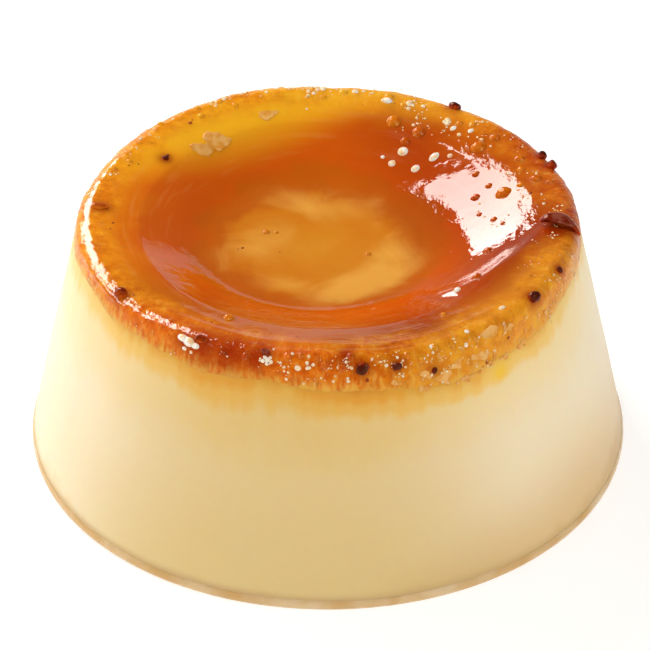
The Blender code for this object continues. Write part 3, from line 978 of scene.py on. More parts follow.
# Azimuth, place, length, width
# The white domes on the back wall are painted highlights, glints of the softbox on small blisters
GLINT_AND_FOAM_DOMES = (
    (61.0, 19.5 * MM, 1.1 * MM, 1.0 * MM),
    (60.4, 21.6 * MM, 1.5 * MM, 1.4 * MM),
    (51.3, 20.0 * MM, 1.3 * MM, 1.1 * MM),
    (49.2, 22.5 * MM, 1.7 * MM, 1.1 * MM),
    (45.0, 23.6 * MM, 0.7 * MM, 0.7 * MM),
    (65.9, 20.0 * MM, 0.6 * MM, 0.6 * MM),
    (52.0, 27.5 * MM, 1.0 * MM, 0.8 * MM),
    (55.5, 28.6 * MM, 0.8 * MM, 0.8 * MM),
    (47.0, 28.2 * MM, 0.9 * MM, 0.7 * MM),
    (68.0, 29.6 * MM, 1.3 * MM, 0.9 * MM),
    (74.0, 29.2 * MM, 1.0 * MM, 1.6 * MM),
    (83.0, 30.6 * MM, 0.9 * MM, 1.0 * MM),
    (315.7, 30.4 * MM, 0.7 * MM, 1.0 * MM),
    (303.3, 31.3 * MM, 0.6 * MM, 0.6 * MM),
    (293.8, 31.7 * MM, 0.6 * MM, 0.6 * MM),
    (301.7, 32.8 * MM, 0.6 * MM, 0.6 * MM),
    (318.0, 22.6 * MM, 0.9 * MM, 1.1 * MM),
    (263.5, 33.3 * MM, 0.8 * MM, 0.8 * MM),
    (262.0, 31.6 * MM, 0.5 * MM, 0.5 * MM),
    (96.0, 26.8 * MM, 0.4 * MM, 0.4 * MM),
    # A flower of small ones, which is foam, and a broad white cap on the left, a painted highlight at the
    # end of the lip's bright line
    (256.7, 32.7 * MM, 0.65 * MM, 0.60 * MM),
    (257.6, 32.9 * MM, 0.50 * MM, 0.50 * MM),
    (255.8, 32.9 * MM, 0.50 * MM, 0.50 * MM),
    (256.1, 32.4 * MM, 0.45 * MM, 0.50 * MM),
    (257.3, 32.4 * MM, 0.45 * MM, 0.45 * MM),
    (256.7, 33.2 * MM, 0.45 * MM, 0.45 * MM),
    (236.4, 32.7 * MM, 0.90 * MM, 1.50 * MM),
    (238.1, 32.9 * MM, 1.20 * MM, 1.60 * MM),
    (239.8, 33.1 * MM, 0.80 * MM, 1.20 * MM),
    (237.2, 33.4 * MM, 0.60 * MM, 0.70 * MM),
    (239.0, 33.5 * MM, 0.50 * MM, 0.50 * MM),
)


def foam_places():
    chance = random.Random(SEED + 1)
    places = []
    for count, clusters, first, last, near, far, least, most in FOAM_FIELDS:
        centres = [(chance.uniform(first, last), chance.uniform(near, far)) for _ in range(clusters)]
        for _ in range(count):
            azimuth, place = chance.choice(centres)
            place += chance.gauss(0.0, CLUSTER_SPREAD)
            azimuth += math.degrees(chance.gauss(0.0, CLUSTER_SPREAD) / CLUSTER_REACH)
            place = min(place, far + CLUSTER_SPREAD)
            width = least + (most - least) * chance.random() ** 3
            places.append((sized(seat(azimuth, place), width, width, 0.6 * width), place))
    return places


foam = scatter("foam", [start_bubble("bubble")], foam_places())
finish_piece(foam, "caramel_layer")
dome_places = []
for azimuth, place, length, width in GLINT_AND_FOAM_DOMES:
    dome_places.append((sized(seat(azimuth, place), length, width, 0.5 * width), place))
glint_and_foam_domes = scatter("glint_and_foam_domes", [start_dome("glint_and_foam_dome")], dome_places)
finish_piece(glint_and_foam_domes, "caramel_layer")

# %% [markdown]
# ## Curd flakes and burnt specks
#
# Shreds of baked custard skin lie in the caramel at the front right, soaked to a peach colour. A
# larger peach flake on the back left stands in for the reflection of a dim light there: a painted
# reflection. They are pressed flat and nearly flush with the surface.
# Specks of burnt sugar, no larger than a grain of sand, are strewn over the caramel.

# %% Curd flakes
# Azimuth, place, length, width, turn in degrees
CURD_AND_REFLECTION_FLAKES = (
    # The first two rows make the larger peach flake on the back left, a painted reflection of a dim light
    (127.4, 24.3 * MM, 3.0 * MM, 3.8 * MM, 12.0),
    (133.5, 24.0 * MM, 2.2 * MM, 3.0 * MM, -30.0),
    (108.0, 26.2 * MM, 1.6 * MM, 2.6 * MM, 10.0),
    (308.4, 32.6 * MM, 1.3 * MM, 3.0 * MM, 8.0),
    (304.6, 33.7 * MM, 1.3 * MM, 2.4 * MM, -20.0),
    (299.8, 33.6 * MM, 1.4 * MM, 2.8 * MM, 5.0),
    (295.6, 34.1 * MM, 1.2 * MM, 2.4 * MM, 25.0),
    (291.4, 33.7 * MM, 1.0 * MM, 1.7 * MM, -35.0),
    (313.6, 33.2 * MM, 1.0 * MM, 1.9 * MM, 15.0),
)
FLAKE_THICKNESS = 0.45 * MM
SHRED_COUNT = 60
SHRED_AZIMUTHS = (278.0, 336.0, 300.0)  # from, to, most
SHRED_PLACES, SHRED_LENGTHS = (32.8 * MM, 35.6 * MM), (0.3 * MM, 0.9 * MM)
# Waves of a flake's outline: height as a share of its radius, how many, phase in degrees
FLAKE_LOBES = (
    ((0.14, 2, 40.0), (0.10, 3, 10.0), (0.09, 5, 80.0), (0.05, 9, 0.0)),
    ((0.10, 2, 140.0), (0.14, 3, 200.0), (0.07, 7, 30.0), (0.06, 11, 90.0)),
    ((0.16, 3, 100.0), (0.08, 4, 0.0), (0.08, 6, 220.0), (0.05, 13, 10.0)),
)


def curd_places():
    chance = random.Random(SEED + 2)
    places = []
    for azimuth, place, length, width, turn in CURD_AND_REFLECTION_FLAKES:
        places.append((sized(seat(azimuth, place), length, width, FLAKE_THICKNESS, turn), place))
    for _ in range(SHRED_COUNT):
        azimuth = chance.triangular(*SHRED_AZIMUTHS)
        place = chance.uniform(*SHRED_PLACES)
        length = chance.uniform(*SHRED_LENGTHS)
        width = length * chance.uniform(0.5, 1.0)
        turn = chance.uniform(0.0, 180.0)
        places.append((sized(seat(azimuth, place), length, width, 0.5 * FLAKE_THICKNESS, turn), place))
    return places


flake_models = [start_flake(f"curd_{i}", lobes) for i, lobes in enumerate(FLAKE_LOBES)]
curd_and_reflection = scatter("curd_and_reflection_flakes", flake_models, curd_places())
finish_piece(curd_and_reflection, "caramel_layer")

# %% Burnt specks
# Azimuth, place, width
SPECKS = (
    (184.0, 9.5 * MM, 0.45 * MM),
    (185.5, 10.1 * MM, 0.30 * MM),
    (196.4, 4.8 * MM, 0.35 * MM),
    (183.0, 27.9 * MM, 0.40 * MM),
    (186.0, 28.3 * MM, 0.30 * MM),
    (144.6, 26.2 * MM, 0.70 * MM),
    (130.1, 28.9 * MM, 0.60 * MM),
    (155.0, 29.2 * MM, 0.40 * MM),
    (153.0, 28.3 * MM, 0.30 * MM),
    (313.1, 33.5 * MM, 0.50 * MM),
    (306.4, 34.6 * MM, 0.45 * MM),
    (284.6, 33.2 * MM, 0.60 * MM),
    (278.4, 33.9 * MM, 0.70 * MM),
    (247.0, 32.9 * MM, 0.50 * MM),
    (216.5, 30.4 * MM, 0.35 * MM),
    (262.0, 27.4 * MM, 0.30 * MM),
    (12.0, 27.2 * MM, 0.70 * MM),
)
SPECK_COUNT = 60
SPECK_PLACES = (24.0 * MM, 35.6 * MM, 33.0 * MM)  # from, to, most
SPECK_WIDTHS = (0.12 * MM, 0.30 * MM)


def speck_places():
    chance = random.Random(SEED + 3)
    sown = list(SPECKS)
    for _ in range(SPECK_COUNT):
        azimuth = chance.uniform(0.0, 360.0)
        place = chance.triangular(*SPECK_PLACES)
        sown.append((azimuth, place, chance.uniform(*SPECK_WIDTHS)))
    places = []
    for azimuth, place, width in sown:
        turn = chance.uniform(0.0, 180.0)
        breadth = width * chance.uniform(0.5, 1.0)
        places.append((sized(seat(azimuth, place), width, breadth, 0.5 * breadth, turn), place))
    return places


specks = scatter("burnt_specks", [start_bubble("speck")], speck_places())
finish_piece(specks, "caramel_layer")

# %% [markdown]
# ## The foot
#
# Thin syrup has run down and stands as a low wet rim round the foot. It is turned like the main
# pieces, as a lens-shaped ring that hugs the custard.

# %% Syrup round the foot
SYRUP_HEIGHT = 1.5 * MM
SYRUP_BULGE = 0.16 * MM


def syrup_profile():
    outer = []
    for z in spread(0.05 * MM, SYRUP_HEIGHT, 0.14 * MM):
        share = z / SYRUP_HEIGHT
        corner = FOOT_ROUND * (1.0 - math.sqrt(max(0.0, 1.0 - (1.0 - min(1.0, z / FOOT_ROUND)) ** 2)))
        swell = SYRUP_BULGE * (1.0 - share**2) ** 0.5 * (1.0 - 0.3 * (1.0 - share) ** 4)
        outer.append((side_radius(z) - 0.55 * corner + swell, z))
    inner = [(side_radius(SYRUP_HEIGHT) - 0.3 * MM, SYRUP_HEIGHT), (side_radius(0.0) - 1.6 * MM, 0.05 * MM)]
    return outer + inner


syrup = turn_profile("foot_syrup", syrup_profile(), STEPS_ROUND)
finish_piece(syrup, "custard")

# %% [markdown]
# ## Patterns that run round the axis
#
# Streaks, hairs and fine lines follow the turned shape: they run down the side or round the lip. For
# those a pattern is read on a cylinder. Its x and y only know the way to the point, not how far out
# it is, and its z counts along the surface. Both main finishes also get washes of colour, each of
# which grows towards one side. On the custard they are painted shade. On the caramel they follow its
# thickness and browning, and the yellow at the back is partly a painted glow.

# %% Wrapped coordinates
RIM_REACH = 32.0  # where lengths round the axis are true, in mm


def wrap_round(tree, along, round_size, along_size):
    """Pattern coordinates with a size in mm round the axis and another along the surface."""
    place = add_node(tree, "ShaderNodeTexCoord").outputs["Object"]
    flat = add_node(tree, "ShaderNodeVectorMath", {"operation": "MULTIPLY", 1: (1.0, 1.0, 0.0)}, {0: place})
    way = add_node(tree, "ShaderNodeVectorMath", {"operation": "NORMALIZE"}, {0: flat.outputs[0]})
    scale = {"operation": "SCALE", "Scale": RIM_REACH / round_size}
    ring = add_node(tree, "ShaderNodeVectorMath", scale, {0: way.outputs[0]})
    climb = add_node(tree, "ShaderNodeMath", {"operation": "DIVIDE", 1: along_size}, {0: along})
    up = add_node(tree, "ShaderNodeCombineXYZ", {}, {2: climb.outputs[0]})
    both = {0: ring.outputs[0], 1: up.outputs[0]}
    return add_node(tree, "ShaderNodeVectorMath", {"operation": "ADD"}, both).outputs[0]


# %% Washes of colour
def leaning(tree, spot, way, start, end, most, least=0.0):
    """A value that grows from least to most along a way, between two distances in millimetres."""
    along = {"operation": "DOT_PRODUCT", 1: tuple(part / MM for part in way)}
    along = add_node(tree, "ShaderNodeVectorMath", along, {0: spot}).outputs["Value"]
    grown = {"interpolation_type": "SMOOTHSTEP", 1: start, 2: end, 3: least, 4: most}
    return add_node(tree, "ShaderNodeMapRange", grown, {0: along}).outputs[0]


def washed(tree, colour, spot, washes):
    """A colour with a wash of another over each side named."""
    for blend, tint, way, start, end, most in washes:
        wash = {"data_type": "RGBA", "blend_type": blend, 7: linear(tint)}
        mask = leaning(tree, spot, way, start, end, most)
        colour = add_node(tree, "ShaderNodeMix", wash, {0: mask, 6: colour}).outputs[2]
    return colour


# %% [markdown]
# ## Baked custard
#
# Egg, milk and sugar, set to a fine gel. Light goes a few millimetres into it, so it looks soft and
# its shadows are warm. Its skin was pressed smooth by the mould and is only a little moist. Just
# under the caramel it is stained amber, in streaks that run downwards, and the foot is browned by
# the syrup it stands in. Painted shade makes the front a little deeper in colour than the sides, and
# the lower right darker.

# %% Custard finish
STAIN_SPAN = 34.0  # the height in mm that the stain's colours are spread over
STAIN_COLOURS = (
    (0.00, "E8CC98"),
    (0.10, "F4E1BA"),
    (0.50, "F6E3BE"),
    (0.76, "F5DBA2"),
    (0.84, "F6C868"),
    (0.90, "F4B03C"),
    (0.95, "EC9C26"),
)
FRONT = (-0.15, -1.0, 0.0)
# Blend, colour, the way it grows, the distances at which it starts and is full (mm), and its share:
# painted shade, deeper at the front and darker low down on the right
CUSTARD_PAINTED_SHADE = (
    ("MULTIPLY", "EFE4BF", FRONT, 22.0, 38.0, 1.0),
    ("MULTIPLY", "EFDCBE", (1.0, -0.4, -1.4), 14.0, 40.0, 1.0),
)


def custard_stain(tree, place, rise, streaks):
    """Amber just below the caramel, with a ragged border that reaches deepest at the front."""
    cloudy = {"Scale": 1.0 / (11.0 * MM), "Detail": 2.0}
    clouds = add_node(tree, "ShaderNodeTexNoise", cloudy, {"Vector": place}).outputs[0]
    height = rise
    for pattern, reach in ((streaks, 0.7), (clouds, 1.0)):
        ragged = {1: 0.3, 2: 0.7, 3: -reach, 4: reach}
        ragged = add_node(tree, "ShaderNodeMapRange", ragged, {0: pattern}).outputs[0]
        height = add_node(tree, "ShaderNodeMath", {"operation": "ADD"}, {0: ragged, 1: height}).outputs[0]
    depth = leaning(tree, place, FRONT, -5.0, 34.0, 0.6, -2.2)
    height = add_node(tree, "ShaderNodeMath", {"operation": "ADD"}, {0: height, 1: depth}).outputs[0]
    share = {"operation": "DIVIDE", 1: STAIN_SPAN}
    share = add_node(tree, "ShaderNodeMath", share, {0: height}).outputs[0]
    stain = add_node(tree, "ShaderNodeValToRGB", {}, {0: share})
    set_ramp(stain, STAIN_COLOURS)
    return stain.outputs[0]


def custard_finish():
    made, tree, shader = new_material("baked egg custard")
    place = add_node(tree, "ShaderNodeTexCoord").outputs["Object"]
    rise = add_node(tree, "ShaderNodeAttribute", {"attribute_name": "rise"}).outputs["Fac"]
    drip = add_node(tree, "ShaderNodeAttribute", {"attribute_name": "drip"}).outputs["Fac"]
    lined = {"Scale": 1.0, "Detail": 4.0}
    drawn = wrap_round(tree, rise, 1.7, 7.0)
    streaks = add_node(tree, "ShaderNodeTexNoise", lined, {"Vector": drawn}).outputs[0]
    # Painted shade: the washes make the front deeper and the lower right darker
    colour = washed(tree, custard_stain(tree, place, rise, streaks), place, CUSTARD_PAINTED_SHADE)
    low = {"interpolation_type": "SMOOTHSTEP", 1: 2.6, 2: 1.2, 3: 0.0, 4: 1.0}
    foot = add_node(tree, "ShaderNodeMapRange", low, {0: rise}).outputs[0]
    # The yellow drip, then the foot, browned by the syrup it stands in
    for soaked, tint in ((drip, "F8C424"), (foot, "DCB67A")):
        tinted = {"data_type": "RGBA", 7: linear(tint)}
        colour = add_node(tree, "ShaderNodeMix", tinted, {0: soaked, 6: colour}).outputs[2]
    tree.links.new(colour, shader.inputs["Base Color"])
    rough = add_node(tree, "ShaderNodeMapRange", {1: 0.3, 2: 0.7, 3: 0.32, 4: 0.44}, {0: streaks})
    tree.links.new(rough.outputs[0], shader.inputs["Roughness"])
    fine = wrap_round(tree, rise, 0.5, 1.4)
    grain = add_node(tree, "ShaderNodeTexNoise", {"Scale": 1.0, "Detail": 3.0}, {"Vector": fine}).outputs[0]
    shallow = {"Strength": 0.5, "Distance": 0.03 * MM}
    bump = add_node(tree, "ShaderNodeBump", shallow, {"Height": grain})
    tree.links.new(bump.outputs[0], shader.inputs["Normal"])
    shader.inputs["IOR"].default_value = 1.40
    shader.inputs["Subsurface Weight"].default_value = 0.5
    shader.inputs["Subsurface Radius"].default_value = (1.0, 0.55, 0.22)
    shader.inputs["Subsurface Scale"].default_value = 3.0 * MM
    shader.inputs["Sheen Weight"].default_value = 0.15
    shader.inputs["Sheen Roughness"].default_value = 0.4
    return made


custard.data.materials.append(custard_finish())

# %% [markdown]
# ## Set caramel
#
# Sugar burnt to amber, then half melted again by the custard's water. It is a clear glaze over the
# custard: pale gold where the layer on the floor is stirred up with custard, red amber on the steep
# wall where it is thickest, and yellow along the back rim, where it is thin and where a painted glow
# stands for the light from behind shining through it. Where it is liquid it is as smooth as glass. On
# the shoulder it has dried dull and grainy, and its colour breaks up into hairs that run down into
# the custard. Round each burnt bit it is stained a dark red. Wet, dried and blistered caramel share
# their colours, which are built up in layers, one short function for each.

# %% The caramel's colours
RING_SPAN = 36.0  # the length over the surface, in mm, that the rings' colours are spread over
RING_COLOURS = (
    (0.00, "DC8C20"),
    (0.26, "D67E16"),
    (0.36, "C6600A"),
    (0.43, "CC6006"),
    (0.50, "D85C04"),
    (0.64, "DC6206"),
    (0.72, "E27406"),
    (0.81, "F2900A"),
    (0.88, "F89E10"),
    (1.00, "F89A0C"),
)
CRUST_COLOURS = ((0.32, "C25408"), (0.44, "E0740A"), (0.55, "F29210"), (0.69, "FDBA34"))
# Thicker and deeper on the right, deeper along the front lip, and yellow along the back rim: partly
# thin caramel, partly a painted glow of the light from behind
WALL_WASHES = (
    ("MULTIPLY", "D8B8FF", (0.90, 0.45, 0.0), 7.0, 21.0, 1.0),
    ("MULTIPLY", "D8BCFF", (0.75, -0.62, 0.0), 14.0, 24.0, 1.0),
    # Painted glow: the back rim is washed yellow as if lit through from behind
    ("MIX", "FDB820", (-0.48, 0.88, 0.0), 18.5, 26.5, 0.95),
    ("MULTIPLY", "E0D8FF", (-0.25, -1.0, 0.0), 14.0, 25.0, 1.0),
)
# Redder on the right and at the front left, more golden at the front right, and golden at the back,
# partly a painted glow of the light from behind
CRUST_WASHES = (
    ("MULTIPLY", "E8C8FF", (0.95, 0.30, 0.0), 24.0, 31.0, 1.0),
    ("MULTIPLY", "F8D2FF", (-0.42, -0.91, 0.0), 24.0, 31.0, 1.0),
    ("MIX", "FFC038", (0.77, -0.64, 0.0), 24.0, 31.0, 0.30),
    # Painted glow: golden at the back, as if lit through from behind
    ("MIX", "FFC030", (0.26, 0.97, 0.0), 24.0, 31.0, 0.45),
)


def clear_caramel(tree, ring):
    """Rings of colour, from the axis outwards."""
    share = add_node(tree, "ShaderNodeMath", {"operation": "DIVIDE", 1: RING_SPAN}, {0: ring}).outputs[0]
    rings = add_node(tree, "ShaderNodeValToRGB", {}, {0: share})
    set_ramp(rings, RING_COLOURS)
    return rings.outputs[0]


def clouded(tree, colour, spot, ring):
    """Pale clouds of stirred-up custard on the floor, with a soft ragged border."""
    milk = add_node(tree, "ShaderNodeAttribute", {"attribute_name": "milk"}).outputs["Fac"]
    swirling = {"Scale": 1.0 / (8.0 * MM), "Detail": 5.0, "Distortion": 0.9}
    swirls = add_node(tree, "ShaderNodeTexNoise", swirling, {"Vector": spot}).outputs[0]
    ragged = {1: 0.3, 2: 0.7, 3: -0.3, 4: 0.3}
    ragged = add_node(tree, "ShaderNodeMapRange", ragged, {0: swirls}).outputs[0]
    milky = add_node(tree, "ShaderNodeMath", {"operation": "ADD"}, {0: ragged, 1: milk}).outputs[0]
    soft = {"interpolation_type": "SMOOTHSTEP", 1: 0.05, 2: 0.95, 3: 0.0, 4: 0.85}
    pale = add_node(tree, "ShaderNodeMapRange", soft, {0: milky}).outputs[0]
    inside = {"interpolation_type": "SMOOTHSTEP", 1: 16.5, 2: 12.5, 3: 0.0, 4: 1.0}
    floor = add_node(tree, "ShaderNodeMapRange", inside, {0: ring}).outputs[0]
    pale = add_node(tree, "ShaderNodeMath", {"operation": "MULTIPLY"}, {0: pale, 1: floor}).outputs[0]
    creamy = {"data_type": "RGBA", 7: linear("F0AE4A")}
    return add_node(tree, "ShaderNodeMix", creamy, {0: pale, 6: colour}).outputs[2]


def streaked(tree, colour, place):
    """Fine pale streaks that sweep round the wall."""
    swept = wrap_round(tree, place, 9.0, 0.8)
    sweeps = add_node(tree, "ShaderNodeTexNoise", {"Scale": 1.0, "Detail": 4.0}, {"Vector": swept})
    thin = {"interpolation_type": "SMOOTHSTEP", 1: 0.52, 2: 0.70, 3: 0.0, 4: 0.14}
    lines = add_node(tree, "ShaderNodeMapRange", thin, {0: sweeps.outputs[0]}).outputs[0]
    up_wall = {"interpolation_type": "SMOOTHSTEP", 1: 17.0, 2: 21.0, 3: 0.0, 4: 1.0}
    on_wall = add_node(tree, "ShaderNodeMapRange", up_wall, {0: place}).outputs[0]
    lines = add_node(tree, "ShaderNodeMath", {"operation": "MULTIPLY"}, {0: lines, 1: on_wall}).outputs[0]
    bright = {"data_type": "RGBA", 7: linear("F2A85C")}
    return add_node(tree, "ShaderNodeMix", bright, {0: lines, 6: colour}).outputs[2]


def browned(tree, colour, spot, shoulder, mottle):
    """Mottled browns over the shoulder, which the clear caramel still shows through."""
    browns = add_node(tree, "ShaderNodeValToRGB", {}, {0: mottle})
    set_ramp(browns, CRUST_COLOURS)
    cover = {"operation": "MULTIPLY", 1: 0.75}
    cover = add_node(tree, "ShaderNodeMath", cover, {0: shoulder}).outputs[0]
    layers = {0: cover, 6: colour, 7: browns.outputs[0]}
    crust = add_node(tree, "ShaderNodeMix", {"data_type": "RGBA"}, layers).outputs[2]
    return washed(tree, crust, spot, CRUST_WASHES)


def fringed(tree, colour, place, shoulder, hairs):
    """Straw-coloured hairs down the shoulder, and a fringe that fades into the custard."""
    fair = {"interpolation_type": "SMOOTHSTEP", 1: 0.52, 2: 0.72, 3: 0.0, 4: 0.24}
    fair = add_node(tree, "ShaderNodeMapRange", fair, {0: hairs}).outputs[0]
    fair = add_node(tree, "ShaderNodeMath", {"operation": "MULTIPLY"}, {0: fair, 1: shoulder}).outputs[0]
    shift = {1: 0.3, 2: 0.7, 3: -1.0, 4: 1.0}
    shift = add_node(tree, "ShaderNodeMapRange", shift, {0: hairs}).outputs[0]
    edge = add_node(tree, "ShaderNodeMath", {"operation": "ADD"}, {0: shift, 1: place}).outputs[0]
    fading = {"interpolation_type": "SMOOTHSTEP", 1: 33.6, 2: 36.4, 3: 0.0, 4: 1.0}
    edge = add_node(tree, "ShaderNodeMapRange", fading, {0: edge}).outputs[0]
    for cover, tint in ((fair, "F8C45C"), (edge, "ECB04A")):
        tinted = {"data_type": "RGBA", 7: linear(tint)}
        colour = add_node(tree, "ShaderNodeMix", tinted, {0: cover, 6: colour}).outputs[2]
    return colour


def caramel_colour(tree, spot, place, mottle, hairs):
    """All the layers, from the clear caramel up to the dark stains round the burnt bits."""
    cloudy = {"Scale": 1.0 / (7.0 * MM), "Detail": 3.0, "Distortion": 0.6}
    clouds = add_node(tree, "ShaderNodeTexNoise", cloudy, {"Vector": spot}).outputs[0]
    warp = add_node(tree, "ShaderNodeMapRange", {1: 0.3, 2: 0.7, 3: -1.5, 4: 1.5}, {0: clouds}).outputs[0]
    ring = add_node(tree, "ShaderNodeMath", {"operation": "ADD"}, {0: warp, 1: place}).outputs[0]
    outside = {"interpolation_type": "SMOOTHSTEP", 1: 25.8, 2: 31.6, 3: 0.0, 4: 1.0}
    shoulder = add_node(tree, "ShaderNodeMapRange", outside, {0: ring}).outputs[0]
    colour = clouded(tree, clear_caramel(tree, ring), spot, ring)
    colour = washed(tree, streaked(tree, colour, place), spot, WALL_WASHES)
    colour = browned(tree, colour, spot, shoulder, mottle)
    colour = fringed(tree, colour, place, shoulder, hairs)
    stained = add_node(tree, "ShaderNodeAttribute", {"attribute_name": "stained"}).outputs["Fac"]
    strength = add_node(tree, "ShaderNodeMath", {"operation": "MULTIPLY", 1: 0.9}, {0: stained}).outputs[0]
    red = {"data_type": "RGBA", 7: linear("A02404")}
    return add_node(tree, "ShaderNodeMix", red, {0: strength, 6: colour}).outputs[2]


# %% Caramel finish
def dried_surface(tree, spot, mottle, hairs):
    """The roughness and the normal of dried caramel: sugar grains over drawn-out hairs."""
    rough = {1: 0.35, 2: 0.65, 3: 0.20, 4: 0.40}
    rough = add_node(tree, "ShaderNodeMapRange", rough, {0: mottle}).outputs[0]
    coarse = {"Strength": 1.0, "Distance": 0.05 * MM}
    coarse = add_node(tree, "ShaderNodeBump", coarse, {"Height": hairs}).outputs[0]
    grains = {"Scale": 1.0 / (0.35 * MM), "Detail": 4.0, "Roughness": 0.6}
    grain = add_node(tree, "ShaderNodeTexNoise", grains, {"Vector": spot}).outputs[0]
    fine = {"Strength": 1.0, "Distance": 0.12 * MM}
    fine = add_node(tree, "ShaderNodeBump", fine, {"Height": grain, "Normal": coarse}).outputs[0]
    return rough, fine


def wet_surface(tree, spot, place):
    """The normal of wet caramel: slow ripples, livelier at the crest, and wrinkles along the front lip."""
    rippled = {"Scale": 1.0 / (1.5 * MM), "Detail": 3.0}
    ripples = add_node(tree, "ShaderNodeTexNoise", rippled, {"Vector": spot}).outputs[0]
    crest = {"interpolation_type": "SMOOTHSTEP", 1: 29.8, 2: 31.4, 3: 1.0, 4: 4.0}
    crest = add_node(tree, "ShaderNodeMapRange", crest, {0: place}).outputs[0]
    ripples = add_node(tree, "ShaderNodeMath", {"operation": "MULTIPLY"}, {0: ripples, 1: crest}).outputs[0]
    slow = {"Strength": 1.0, "Distance": 0.05 * MM}
    slow = add_node(tree, "ShaderNodeBump", slow, {"Height": ripples}).outputs[0]
    wrinkled = wrap_round(tree, place, 7.0, 0.6)
    wrinkles = add_node(tree, "ShaderNodeTexNoise", {"Scale": 1.0, "Detail": 2.0}, {"Vector": wrinkled})
    rising = leaning(tree, spot, (0.25, -1.0, 0.0), 25.0, 28.0, 1.0)
    folds = {0: wrinkles.outputs[0], 1: rising}
    folds = add_node(tree, "ShaderNodeMath", {"operation": "MULTIPLY"}, folds).outputs[0]
    sharp = {"Strength": 1.0, "Distance": 0.12 * MM}
    return add_node(tree, "ShaderNodeBump", sharp, {"Height": folds, "Normal": slow}).outputs[0]


def caramel_finish(name, is_dried, bending, tint):
    made, tree, shader = new_material(name)
    spot = add_node(tree, "ShaderNodeTexCoord").outputs["Object"]
    place = add_node(tree, "ShaderNodeAttribute", {"attribute_name": "place"}).outputs["Fac"]
    blotchy = {"Scale": 1.0 / (1.8 * MM), "Detail": 5.0, "Roughness": 0.65}
    mottle = add_node(tree, "ShaderNodeTexNoise", blotchy, {"Vector": spot}).outputs[0]
    hanging = {"Vector": wrap_round(tree, place, 0.55, 1.5)}
    hairs = add_node(tree, "ShaderNodeTexNoise", {"Scale": 1.0, "Detail": 3.0}, hanging).outputs[0]
    colour = caramel_colour(tree, spot, place, mottle, hairs)
    tree.links.new(colour, shader.inputs["Base Color"])
    if is_dried:
        rough, bump = dried_surface(tree, spot, mottle, hairs)
        tree.links.new(rough, shader.inputs["Roughness"])
    else:
        bump = wet_surface(tree, spot, place)
        shader.inputs["Roughness"].default_value = 0.045
    tree.links.new(bump, shader.inputs["Normal"])
    shader.inputs["IOR"].default_value = bending
    shader.inputs["Specular Tint"].default_value = linear(tint)
    shader.inputs["Subsurface Weight"].default_value = 0.25
    shader.inputs["Subsurface Radius"].default_value = (1.0, 0.35, 0.06)
    shader.inputs["Subsurface Scale"].default_value = 1.6 * MM
    return made


def stain_round_bits(piece):
    """How much each point is stained by the burnt bits near it, from 0 to 1."""
    points = read_points(piece)
    stained = np.zeros(len(points))
    for spot, span in stains:
        far = np.linalg.norm(points - np.array(spot), axis=1) / span
        stained = np.maximum(stained, hill(1.5 * far, 1.0))
    store(piece, "stained", stained)


for piece in (caramel, blisters):
    stain_round_bits(piece)
caramel.data.materials.append(caramel_finish("set caramel", False, 1.70, "FFFFFF"))
caramel.data.materials.append(caramel_finish("dried caramel", True, 1.32, "E88C3C"))
blisters.data.materials.append(caramel_finish("blistered caramel", False, 1.45, "FFD8A8"))
split_finish(caramel, dried)

# %% [markdown]
# ## Burnt sugar
#
# Sugar cooked past amber turns nearly black and hard as glass, with a dull skin on top. A bit is
# darkest on top and red to orange where it meets the caramel: partly the caramel seen through its
# thin edges, partly a painted glow of light let through them. The thin flakes stay a clear dark red,
# with a lighter mauve top that is a painted sheen, and a smear that only just caught is brown.

# %% Burnt sugar finish
def burnt_sugar_finish(name, stops, roughness):
    made, tree, shader = new_material(name)
    place = add_node(tree, "ShaderNodeTexCoord").outputs["Object"]
    lift = add_node(tree, "ShaderNodeAttribute", {"attribute_name": "lift"}).outputs["Fac"]
    blotchy = {"Scale": 1.0 / (0.8 * MM), "Detail": 4.0}
    mottle = add_node(tree, "ShaderNodeTexNoise", blotchy, {"Vector": place}).outputs[0]
    moved = {1: 0.3, 2: 0.7, 3: -0.25, 4: 0.25}
    moved = add_node(tree, "ShaderNodeMapRange", moved, {0: mottle}).outputs[0]
    height = add_node(tree, "ShaderNodeMath", {"operation": "ADD"}, {0: moved, 1: lift}).outputs[0]
    layers = add_node(tree, "ShaderNodeValToRGB", {}, {0: height})
    set_ramp(layers, stops)
    tree.links.new(layers.outputs[0], shader.inputs["Base Color"])
    rough = {1: 0.3, 2: 0.7, 3: roughness, 4: roughness + 0.12}
    rough = add_node(tree, "ShaderNodeMapRange", rough, {0: mottle})
    tree.links.new(rough.outputs[0], shader.inputs["Roughness"])
    bump = add_node(tree, "ShaderNodeBump", {"Strength": 1.0, "Distance": 0.04 * MM}, {"Height": mottle})
    tree.links.new(bump.outputs[0], shader.inputs["Normal"])
    shader.inputs["IOR"].default_value = 1.40
    shader.inputs["Specular Tint"].default_value = linear("F0B080")
    shader.inputs["Subsurface Weight"].default_value = 0.2
    shader.inputs["Subsurface Radius"].default_value = (1.0, 0.15, 0.03)
    shader.inputs["Subsurface Scale"].default_value = 0.8 * MM
    return made
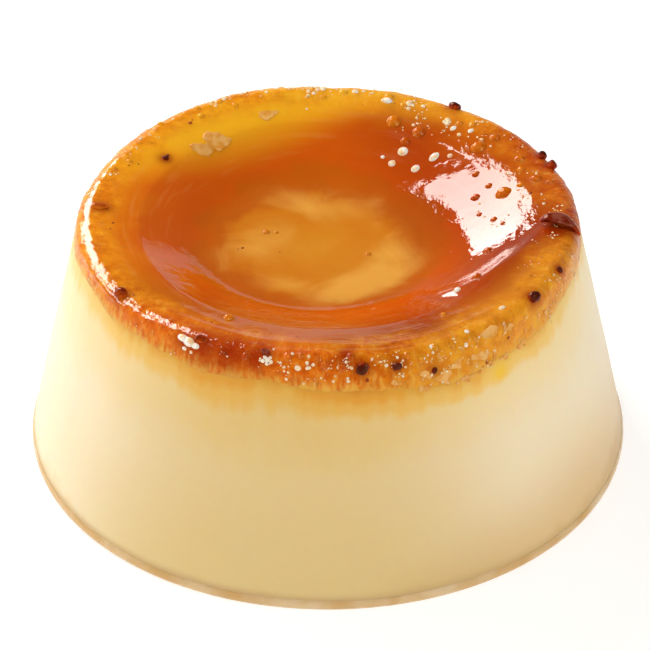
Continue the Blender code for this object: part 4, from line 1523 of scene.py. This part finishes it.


# Colours from the base up: the bright lowest stops are partly a painted glow through thin edges
black_sugar = burnt_sugar_finish(
    "burnt sugar", ((0.20, "C8500A"), (0.45, "962A08"), (0.72, "561608"), (1.0, "4A180C")), 0.14
)
# The lighter mauve top stop is a painted sheen
red_sugar = burnt_sugar_finish(
    "dark red sugar", ((0.20, "C8520C"), (0.45, "A03008"), (0.72, "741E08"), (1.0, "8A4434")), 0.07
)
brown_sugar = burnt_sugar_finish(
    "brown sugar", ((0.20, "EC9A1C"), (0.50, "DC7C12"), (0.75, "C8600C"), (1.0, "B04C0A")), 0.10
)
# The bright orange base is partly a painted glow of light through the bead
amber_sugar = burnt_sugar_finish(
    "amber sugar", ((0.20, "E08818"), (0.45, "C2560C"), (0.70, "A03808"), (1.0, "7C2404")), 0.04
)
FINISH_OF_BIT = {
    "large_flake": red_sugar,
    "spiked_flake": red_sugar,
    "left_crumb": amber_sugar,
    "left_speck": red_sugar,
    "hooked_smear": brown_sugar,
    "amber_bead": amber_sugar,
}
for name, bit in burnt.items():
    bit.data.materials.append(FINISH_OF_BIT.get(name, black_sugar))

# %% [markdown]
# ## Foam, curd, specks and syrup
#
# The foam is air in sugar glass, which looks pale cream. The curd is custard skin soaked with syrup.
# The specks are burnt through. The syrup at the foot is caramel thinned with whey, clear and tan.
# The peach flake on the back left is a painted reflection, and the white domes are mostly painted
# highlights.

# %% The small finishes
def speckled_finish(name, pale, deep, grain, roughness, depth):
    """A moist finish that wanders between two colours."""
    made, tree, shader = new_material(name)
    place = add_node(tree, "ShaderNodeTexCoord").outputs["Object"]
    blotchy = {"Scale": 1.0 / grain, "Detail": 4.0}
    mottle = add_node(tree, "ShaderNodeTexNoise", blotchy, {"Vector": place}).outputs[0]
    colours = add_node(tree, "ShaderNodeValToRGB", {}, {0: mottle})
    set_ramp(colours, ((0.35, deep), (0.65, pale)))
    tree.links.new(colours.outputs[0], shader.inputs["Base Color"])
    bump = add_node(tree, "ShaderNodeBump", {"Strength": 0.6, "Distance": 0.03 * MM}, {"Height": mottle})
    tree.links.new(bump.outputs[0], shader.inputs["Normal"])
    shader.inputs["Roughness"].default_value = roughness
    shader.inputs["IOR"].default_value = 1.45
    shader.inputs["Specular Tint"].default_value = linear("FFDCB4")
    shader.inputs["Subsurface Weight"].default_value = 0.3
    shader.inputs["Subsurface Radius"].default_value = (1.0, 0.6, 0.3)
    shader.inputs["Subsurface Scale"].default_value = depth
    return made


foam.data.materials.append(speckled_finish("sugar foam", "FFEACA", "F8CC90", 1.4 * MM, 0.15, 0.3 * MM))
# White set sugar: painted highlights on most domes, pale foam on the flower
glint_and_foam_domes.data.materials.append(speckled_finish("set sugar and painted glints", "FFFAF2", "F8CE98", 0.8 * MM, 0.08, 0.3 * MM))
# Peach: soaked curd, and a painted reflection for the flake on the back left
curd_and_reflection.data.materials.append(speckled_finish("soaked curd and painted reflection", "FAB668", "EE9838", 1.0 * MM, 0.16, 0.8 * MM))
specks.data.materials.append(speckled_finish("burnt specks", "B04A0C", "6A2206", 0.4 * MM, 0.45, 0.1 * MM))
syrup.data.materials.append(speckled_finish("thin syrup", "E2C79C", "D2AA6E", 7.0 * MM, 0.10, 1.0 * MM))
